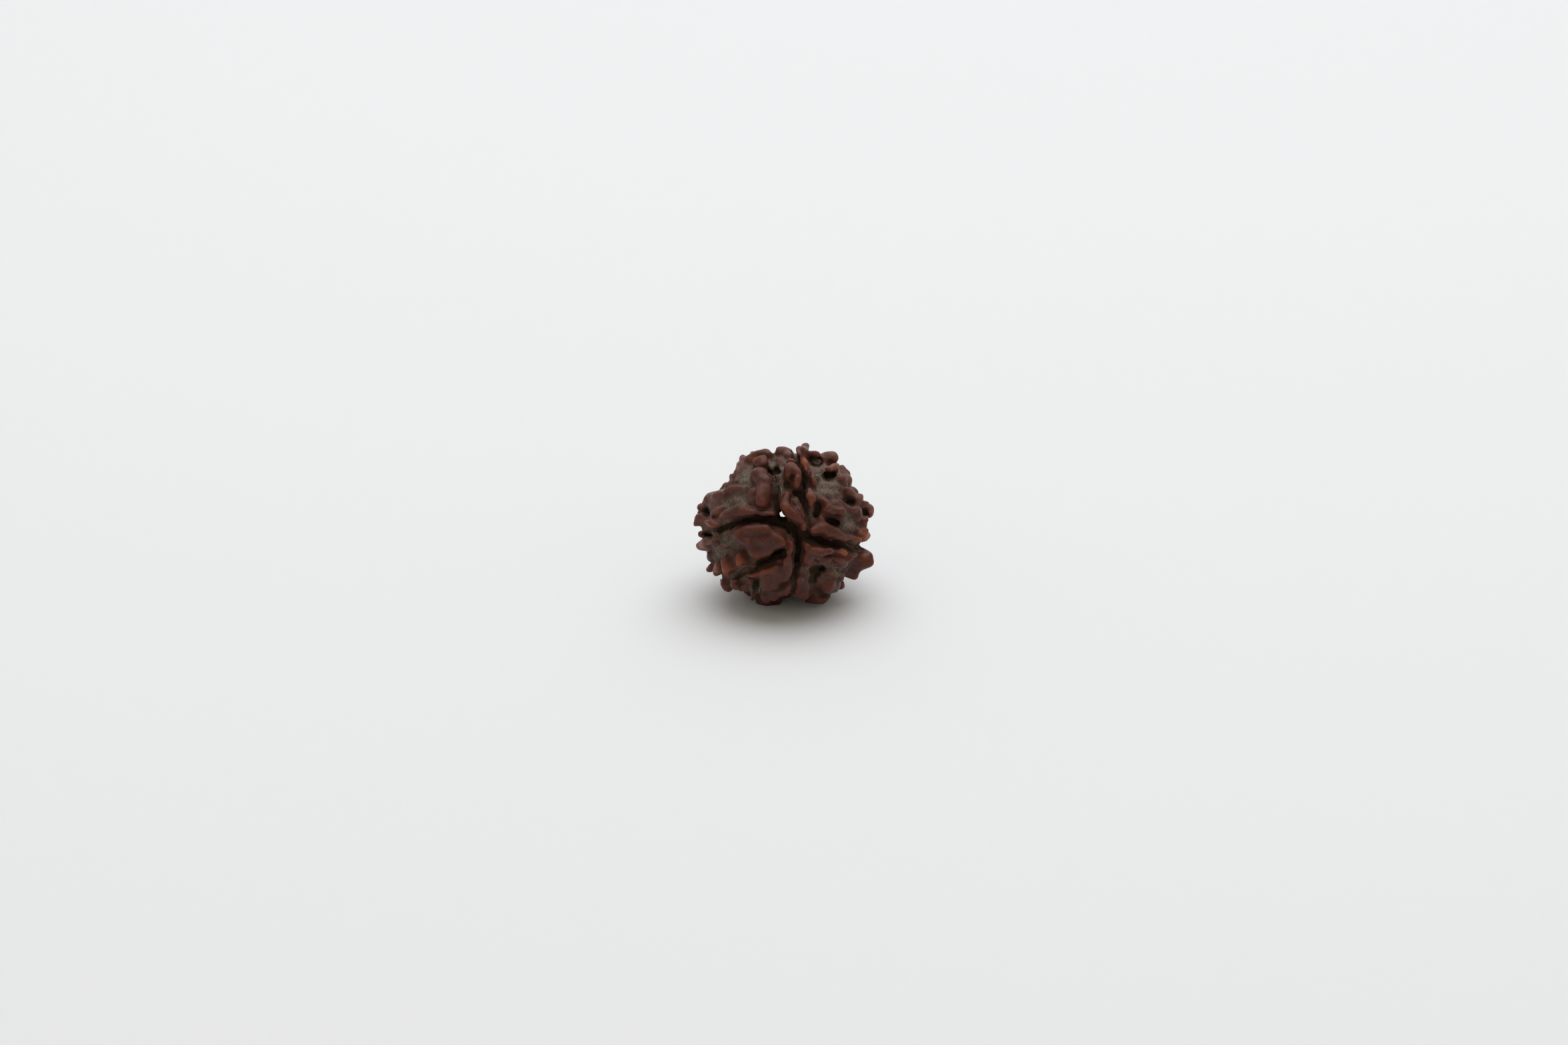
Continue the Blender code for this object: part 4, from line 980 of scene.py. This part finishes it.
def stoneColour(tree, look, noise, layer, cover):
    # each mix lays the next colour over the last by its share
    patch = addNode(tree, "ShaderNodeMath", (noise["fleck"], look["fleckShare"], noise["mottle"]),
                    operation="MULTIPLY_ADD").outputs[0]
    patch = addNode(tree, "ShaderNodeMapRange", (patch, *look["darkToBody"])).outputs[0]
    colour = addNode(tree, "ShaderNodeMix", {0: patch, 6: srgb(look["dark"]), 7: srgb(look["body"])},
                     data_type="RGBA").outputs[2]

    # rubbed wear and a painted highlight: fine crests lighter
    rubbedAndLit = addNode(tree, "ShaderNodeMapRange", (layer["proud"], *look["rubbedHighlightProud"])).outputs[0]
    flecked = addNode(tree, "ShaderNodeMapRange", (noise["fleck"], *look["rubbedHighlightFlecks"])).outputs[0]
    rubbedAndLit = addNode(tree, "ShaderNodeMath", (rubbedAndLit, flecked), operation="MULTIPLY").outputs[0]
    colour = addNode(tree, "ShaderNodeMix", {0: rubbedAndLit, 6: colour, 7: srgb(look["rubbedHighlight"])},
                     data_type="RGBA").outputs[2]

    # painted glow: thin tips orange where light would pass through them, and amber tone behind
    lit = addNode(tree, "ShaderNodeMapRange", (noise["mottle"], *look["amberGlowPatches"])).outputs[0]
    lit = addNode(tree, "ShaderNodeMath", (layer["amberGlow"], lit), operation="MULTIPLY").outputs[0]
    colour = addNode(tree, "ShaderNodeMix", {0: lit, 6: colour, 7: srgb(look["amberGlow"])},
                     data_type="RGBA").outputs[2]

    # painted top light with fine dust: paler on what faces up and in the listed places
    dustAndLit = addNode(tree, "ShaderNodeMapRange", (noise["mottle"], *look["dustAndTopLightPatches"])).outputs[0]
    dustAndLit = addNode(tree, "ShaderNodeMath", (layer["dustAndTopLight"], dustAndLit), operation="MULTIPLY").outputs[0]
    colour = addNode(tree, "ShaderNodeMix", {0: dustAndLit, 6: colour, 7: srgb(look["dustAndTopLight"])},
                     data_type="RGBA").outputs[2]

    speckled = addNode(tree, "ShaderNodeMapRange", (noise["fleck"], *look["dustFlecks"])).outputs[0]
    pulp = addNode(tree, "ShaderNodeMix", {0: speckled, 6: srgb(look["dirt"]), 7: srgb(look["dust"])},
                   data_type="RGBA").outputs[2]
    thread = addNode(tree, "ShaderNodeMapRange", (noise["strand"], *look["fibreRidges"])).outputs[0]
    pulp = addNode(tree, "ShaderNodeMix", {0: thread, 6: pulp, 7: srgb(look["fibre"])},
                   data_type="RGBA").outputs[2]
    colour = addNode(tree, "ShaderNodeMix", {0: cover, 6: colour, 7: pulp}, data_type="RGBA").outputs[2]

    # grains of dust, thick in the hollows and round them and few on the knuckles
    spread = addNode(tree, "ShaderNodeMath", (layer["dust"], layer["dustAndTopLight"]), operation="ADD").outputs[0]
    least = addNode(tree, "ShaderNodeMapRange", (spread, 0, 1, *look["speckLeast"])).outputs[0]
    grains = addNode(tree, "ShaderNodeMath", (noise["speck"], least), operation="SUBTRACT").outputs[0]
    grains = addNode(tree, "ShaderNodeMapRange", (grains, 0, look["speckEdge"], 0, look["speckCover"]))
    return addNode(tree, "ShaderNodeMix", {0: grains.outputs[0], 6: colour, 7: srgb(look["speck"])},
                   data_type="RGBA").outputs[2]


def stoneMaterial():
    # Dried, handled endocarp, which is a dense wood: waxy and satin where it is rubbed, with a painted
    # highlight on the crests, a painted glow at thin tips and painted top light, torn, matt and dusty where
    # the pulp came off in the hollows, and painted shade, brown, in the seams and pits
    look = stoneFinish
    material = bpy.data.materials.new("Waxed woody fruit stone")
    material.use_nodes = True
    tree = material.node_tree
    shader = tree.nodes["Principled BSDF"]
    where = addNode(tree, "ShaderNodeTexCoord").outputs["Object"]
    layer = {
        name: addNode(tree, "ShaderNodeAttribute", attribute_name=name).outputs["Fac"]
        for name in ("dust", "dustAndTopLight", "amberGlow", "proud", "shut", "carved")
    }
    noise = {}
    for name in ("mottle", "fleck", "pore"):
        inputs = {"Vector": where, "Scale": 1 / (look[name + "Size"] * mm),
                  "Detail": look["noiseDetail"], "Roughness": look["noiseRoughness"]}
        noise[name] = addNode(tree, "ShaderNodeTexNoise", inputs).outputs[0]
    inputs = {"Vector": where, "Scale": 1 / (look["speckSize"] * mm), "Detail": look["speckDetail"]}
    noise["speck"] = addNode(tree, "ShaderNodeTexNoise", inputs).outputs[0]
    inputs = {"Vector": where, "Scale": 1 / (look["fibreSize"] * mm),
              "Detail": look["fibreDetail"], "Distortion": look["fibreDistortion"]}
    noise["strand"] = addNode(tree, "ShaderNodeTexNoise", inputs,
                              noise_type="RIDGED_MULTIFRACTAL", normalize=True).outputs[0]

    cover = addNode(tree, "ShaderNodeMapRange", (noise["mottle"], *look["dustPatches"])).outputs[0]
    cover = addNode(tree, "ShaderNodeMath", (layer["dust"], cover), operation="MULTIPLY").outputs[0]
    # painted shade, with some dirt: darker where a point is shut in and in the carved seams and pits
    closed = addNode(tree, "ShaderNodeMapRange", (layer["shut"], *look["shutDeep"])).outputs[0]
    deepShade = addNode(tree, "ShaderNodeMapRange", (layer["carved"], *look["carvedDeep"])).outputs[0]
    deepShade = addNode(tree, "ShaderNodeMath", (closed, deepShade), operation="MAXIMUM").outputs[0]
    colour = stoneColour(tree, look, noise, layer, cover)
    colour = addNode(tree, "ShaderNodeMix", {0: deepShade, 6: colour, 7: srgb(look["deepShade"])},
                     data_type="RGBA").outputs[2]
    tree.links.new(colour, shader.inputs["Base Color"])

    rough = addNode(tree, "ShaderNodeMapRange", (noise["mottle"], *look["roughPatches"], *look["roughness"]))
    matt = addNode(tree, "ShaderNodeMath", (cover, deepShade), operation="MAXIMUM").outputs[0]
    rough = addNode(tree, "ShaderNodeMix", {0: matt, 2: rough.outputs[0], 3: look["dustRoughness"]})
    tree.links.new(rough.outputs[0], shader.inputs["Roughness"])
    shader.inputs["IOR"].default_value = look["ior"]
    shader.inputs["Specular IOR Level"].default_value = look["specular"]

    inputs = {"Strength": look["poreBump"], "Distance": look["poreDepth"] * mm, "Height": noise["pore"]}
    pitted = addNode(tree, "ShaderNodeBump", inputs).outputs["Normal"]
    torn = addNode(tree, "ShaderNodeMath", (noise["strand"], cover), operation="MULTIPLY").outputs[0]
    inputs = {"Strength": look["frayBump"], "Distance": look["frayDepth"] * mm,
              "Height": torn, "Normal": pitted}
    frayed = addNode(tree, "ShaderNodeBump", inputs).outputs["Normal"]
    tree.links.new(frayed, shader.inputs["Normal"])
    return material


stone, stoneSkin, stoneShift = buildStone()
stone.data.materials.append(stoneMaterial())
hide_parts("rudraksha_bead")
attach(stone, "root")
print("Stone placed, moved by mm:", np.round(stoneShift, 3))


fibres = {
    "count": 900,
    "length": (0.35, 1.2),
    "radius": (0.01, 0.018),
    "lift": (0.02, 0.1),
    "bend": 0.2,
    "sink": 0.05,             # how far the ends go under the surface
    "floorGap": 0.02,
    "likelyShut": (0.5, 0.8), # how shut in a point is where fibres end
    "strandRadius": 0.015,
    "strandSpread": 0.07,     # between the fibres of a strand
    "strandFibres": 4,
    "strandReach": 0.3,       # how far round its route a strand looks for the highest point
    "rings": 7,
    "sides": 4,
    "pale": "#B5A98F",        # clean dried fibre
    "stained": "#5E4A38",     # soaked with the pulp's brown
    "toneSize": 1.4,          # mm, of the stains
    "tones": (0.38, 0.62),    # the noise's values, from all stained to all pale
    "roughness": 0.85,
    "ior": 1.5,
    "seed": 23,
}

# Longer strands that bridge a hollow, by the points (x, y) that they pass on the front
strands = [
    [(-1.8, 5.6), (-1.2, 5.85), (-0.6, 5.4), (-0.3, 4.6), (-0.1, 4.0)],
    [(-1.5, 5.3), (-0.9, 5.5), (-0.5, 4.9), (-0.35, 4.3), (-0.3, 3.7)],
    [(3.6, 7.15), (4.0, 7.0), (4.4, 7.05), (4.8, 7.3), (5.1, 7.4)],
    [(3.7, 6.2), (4.2, 6.1), (4.6, 6.15), (5.0, 6.3), (5.3, 6.5)],
    [(-8.9, -0.8), (-8.5, -1.1), (-8.3, -1.5), (-8.6, -1.8), (-9.0, -1.9)],
    [(-8.1, -0.8), (-7.8, -1.2), (-7.6, -1.5), (-7.2, -1.6), (-6.9, -1.9)],
    [(-5.0, 3.3), (-4.7, 2.8), (-4.8, 2.3), (-5.3, 2.2), (-5.8, 2.3)],
    [(7.1, 7.2), (7.0, 6.8), (7.1, 6.3), (7.5, 5.7), (7.9, 5.1)],
    [(9.2, 3.2), (9.25, 2.7), (9.4, 2.2), (9.6, 1.7), (9.7, 1.2)],
    [(7.6, -2.4), (8.1, -2.6), (8.6, -2.8), (9.1, -2.9), (9.5, -3.2)],
    [(6.0, -5.3), (6.4, -5.5), (6.6, -5.9), (6.9, -6.1), (7.2, -6.2)],
    [(-3.2, -6.9), (-3.0, -7.3), (-3.1, -7.8), (-3.3, -8.2), (-3.2, -8.6)],
    [(-8.9, -3.2), (-8.6, -3.6), (-8.5, -4.1), (-8.7, -4.5), (-8.6, -4.9)],
]


def tubes(path, up, radius):
    # round each path, rings of points on its two cross directions, joined by walls and ends
    count, rings, sides = len(path), fibres["rings"], fibres["sides"]
    forward = unit(np.gradient(path, axis=1))
    side = unit(np.cross(forward, up))
    over = np.cross(side, forward)
    turn = np.arange(sides) / sides * 2 * math.pi
    ring = side[:, :, None] * np.cos(turn)[:, None] + over[:, :, None] * np.sin(turn)[:, None]
    points = (path[:, :, None] + ring * radius[:, :, None]).reshape(-1, 3)
    points[:, 2] = np.maximum(points[:, 2], fibres["floorGap"])
    i, j = np.meshgrid(np.arange(rings - 1), np.arange(sides), indexing="ij")
    after = (j + 1) % sides
    wall = np.stack([i * sides + j, i * sides + after, (i + 1) * sides + after, (i + 1) * sides + j], axis=-1)
    ends = np.array([np.arange(sides)[::-1], (rings - 1) * sides + np.arange(sides)])
    one = np.concatenate([wall.reshape(-1, 4), ends])
    return points, (one[None] + np.arange(count)[:, None, None] * rings * sides).reshape(-1, 4)


def shortFibres(rng):
    # an arc along the surface, raised by half a sine wave and bent aside by another
    likely = stoneSkin["dust"] ** 2 * (1 - smoothStep(*fibres["likelyShut"], stoneSkin["shut"]))
    chosen = rng.choice(len(likely), fibres["count"], replace=False, p=likely / likely.sum())
    start = stoneSkin["points"][chosen][:, None]
    up = stoneSkin["normals"][chosen]
    along = unit(np.cross(up, rng.normal(size=up.shape)))[:, None]
    up = up[:, None]
    aside = np.cross(up, along)
    count = len(chosen)
    length = rng.uniform(*fibres["length"], (count, 1, 1))
    lift = rng.uniform(*fibres["lift"], (count, 1, 1))
    bend, twist = rng.normal(0, fibres["bend"], (2, count, 1, 1))
    t = np.linspace(0, 1, fibres["rings"])[None, :, None]
    path = start + along * (t - 0.5) * length
    path = path + up * (lift * np.sin(math.pi * t) - fibres["sink"])
    path = path + aside * (bend * np.sin(math.pi * t) + twist / 2 * np.sin(2 * math.pi * t))
    radius = rng.uniform(*fibres["radius"], (count, 1, 1)) * (1 - 0.6 * (2 * t - 1) ** 2)
    return path, np.broadcast_to(up, path.shape), radius


def longStrands(rng):
    # each point of a strand takes the front skin's highest point near it, and its fibres spread
    # round that by chance
    front = stoneSkin["front"]
    t = np.linspace(0, 1, fibres["rings"])
    reach = fibres["strandReach"] ** 2
    paths = []
    ups = []
    for strand in strands:
        places = np.array(strand)
        knots = np.linspace(0, 1, len(places))
        route = np.stack([np.interp(t, knots, places[:, axis]) for axis in (0, 1)], axis=1)
        close = [np.flatnonzero(((front[:, :2] - at) ** 2).sum(axis=1) < reach) for at in route]
        highest = [near[np.argmax(front[near, 2])] for near in close]
        middle = stoneSkin["points"][highest]
        for _ in range(2):
            middle[1:-1] = middle[1:-1] / 2 + (middle[:-2] + middle[2:]) / 4
        for _ in range(fibres["strandFibres"]):
            spread = rng.normal(0, fibres["strandSpread"], (2, 3))
            paths.append(middle + spread[0] + spread[1] * np.sin(math.pi * t)[:, None])
            ups.append(stoneSkin["normals"][highest])
    path = np.array(paths)
    radius = np.full((len(path), 1, 1), fibres["strandRadius"]) * (1 - 0.5 * (2 * t - 1) ** 2)[None, :, None]
    return path, np.array(ups), radius


def buildFibres():
    rng = np.random.default_rng(fibres["seed"])
    short = shortFibres(rng)
    long = longStrands(rng)
    path, up, radius = [np.concatenate(pair) for pair in zip(short, long)]
    points, faces = tubes(path, up, radius)
    mesh = bpy.data.meshes.new("pulp_fibres")
    mesh.from_pydata((points * mm).tolist(), [], faces.tolist())
    mesh.shade_smooth()
    piece = bpy.data.objects.new("pulp_fibres", mesh)
    bpy.context.scene.collection.objects.link(piece)
    print("Fibres:", len(path))
    return piece


def fibreMaterial():
    # Dried pulp thread: pale straw plant fibre, matt, browned where the pulp soaked it
    material = bpy.data.materials.new("Dried pulp fibre")
    material.use_nodes = True
    tree = material.node_tree
    shader = tree.nodes["Principled BSDF"]
    where = addNode(tree, "ShaderNodeTexCoord").outputs["Object"]
    tone = addNode(tree, "ShaderNodeTexNoise",
                   {"Vector": where, "Scale": 1 / (fibres["toneSize"] * mm)}).outputs[0]
    tone = addNode(tree, "ShaderNodeMapRange", (tone, *fibres["tones"])).outputs[0]
    colours = {0: tone, 6: srgb(fibres["stained"]), 7: srgb(fibres["pale"])}
    colour = addNode(tree, "ShaderNodeMix", colours, data_type="RGBA").outputs[2]
    tree.links.new(colour, shader.inputs["Base Color"])
    shader.inputs["Roughness"].default_value = fibres["roughness"]
    shader.inputs["IOR"].default_value = fibres["ior"]
    return material


pulp = buildFibres()
pulp.data.materials.append(fibreMaterial())
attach(pulp, "root")


# The studio: a pale paper sweep, a broad soft light above and a little behind, and the camera

studio = {
    "paper": "#F0F1F2",
    "paperRoughness": 0.9,
    "paperSpecular": 0.2,
    "paperSide": 1400,          # mm of paper to each side
    "paperFront": 1050,         # mm in front
    "curveStart": 260,          # mm behind the bead where the paper starts to rise
    "curveRadius": 400,
    "curveSteps": 32,
    "paperTop": 1200,           # mm over the floor
    "skyColour": (1, 0.96, 0.84),       # the room's bounced light, a little warm
    "skyStrength": 0.39,
    "keyColour": (0.925, 0.945, 1),
    "keyPower": 8.3,
    "keySize": 1.3,
    "keyPlace": (0.05, 0.25, 0.92),      # metres
    "keyTarget": (0, 0, 0.01),
    "imageWidth": 2352,
    "imageHeight": 1568,
    "beadWidthPixels": 268,     # how wide the bead is in the photograph
    "beadWidth": 22.0,          # mm
    "beadPixel": (1175, 787.5),         # its middle in the photograph
    "lens": 85,
    "sensor": 36,
    "clip": (0.01, 10),
}


def buildPaper():
    # a flat sheet carried back, then up a quarter circle, then straight up
    start, radius = studio["curveStart"], studio["curveRadius"]
    turn = np.linspace(0, math.pi / 2, studio["curveSteps"] + 1)
    back = np.concatenate([[-studio["paperFront"]], start + radius * np.sin(turn), [start + radius]])
    rise = np.concatenate([[0], radius * (1 - np.cos(turn)), [studio["paperTop"]]])
    across = np.array([-studio["paperSide"], studio["paperSide"]])
    x, y = np.meshgrid(across, back, indexing="ij")
    points = np.stack([x, y, np.broadcast_to(rise, x.shape)], axis=-1).reshape(-1, 3) * mm
    n = len(back)
    i = np.arange(n - 1)
    faces = np.stack([i, i + n, i + n + 1, i + 1], axis=-1)
    mesh = bpy.data.meshes.new("paper_sweep")
    mesh.from_pydata(points.tolist(), [], faces.tolist())
    mesh.shade_smooth()
    paper = bpy.data.objects.new("paper_sweep", mesh)
    bpy.context.scene.collection.objects.link(paper)
    material = bpy.data.materials.new("Matt backdrop paper")
    material.use_nodes = True
    shader = material.node_tree.nodes["Principled BSDF"]
    shader.inputs["Base Color"].default_value = srgb(studio["paper"])
    shader.inputs["Roughness"].default_value = studio["paperRoughness"]
    shader.inputs["Specular IOR Level"].default_value = studio["paperSpecular"]
    mesh.materials.append(material)
    return paper


def lookAt(obj, target):
    obj.rotation_euler = (Vector(target) - obj.location).to_track_quat("-Z", "Y").to_euler()


def addKey():
    light = bpy.data.lights.new("overhead_softbox", "AREA")
    light.shape = "DISK"
    light.size = studio["keySize"]
    light.energy = studio["keyPower"]
    light.color = studio["keyColour"]
    obj = bpy.data.objects.new("overhead_softbox", light)
    bpy.context.scene.collection.objects.link(obj)
    obj.location = studio["keyPlace"]
    lookAt(obj, studio["keyTarget"])


def addSky():
    world = bpy.data.worlds.new("white_room")
    bpy.context.scene.world = world
    world.use_nodes = True
    background = world.node_tree.nodes["Background"]
    background.inputs["Color"].default_value = (*studio["skyColour"], 1)
    background.inputs["Strength"].default_value = studio["skyStrength"]


def addCamera():
    # far enough for the bead's width to take its share of the frame, along the bead's own axis
    camera = bpy.data.cameras.new("camera")
    camera.sensor_width = studio["sensor"]
    camera.lens = studio["lens"]
    camera.clip_start, camera.clip_end = studio["clip"]
    pixel = studio["beadWidth"] / studio["beadWidthPixels"] * mm
    distance = studio["lens"] / studio["sensor"] * studio["imageWidth"] * pixel
    middle = Vector((stoneShift[0] * mm, stoneShift[1] * mm, bead["floorBelowMiddle"] * mm))
    towards = Vector((0, -math.cos(bead["lean"]), math.sin(bead["lean"])))
    upward = Vector((0, math.sin(bead["lean"]), math.cos(bead["lean"])))
    aside = (studio["imageWidth"] / 2 - studio["beadPixel"][0]) * pixel
    above = (studio["beadPixel"][1] - studio["imageHeight"] / 2) * pixel
    target = middle + Vector((aside, 0, 0)) + upward * above
    obj = bpy.data.objects.new("camera", camera)
    bpy.context.scene.collection.objects.link(obj)
    obj.location = target + towards * distance
    lookAt(obj, target)
    bpy.context.scene.camera = obj


buildPaper()
addKey()
addSky()
addCamera()
bpy.context.scene.view_settings.view_transform = "Standard"
print("Studio ready")
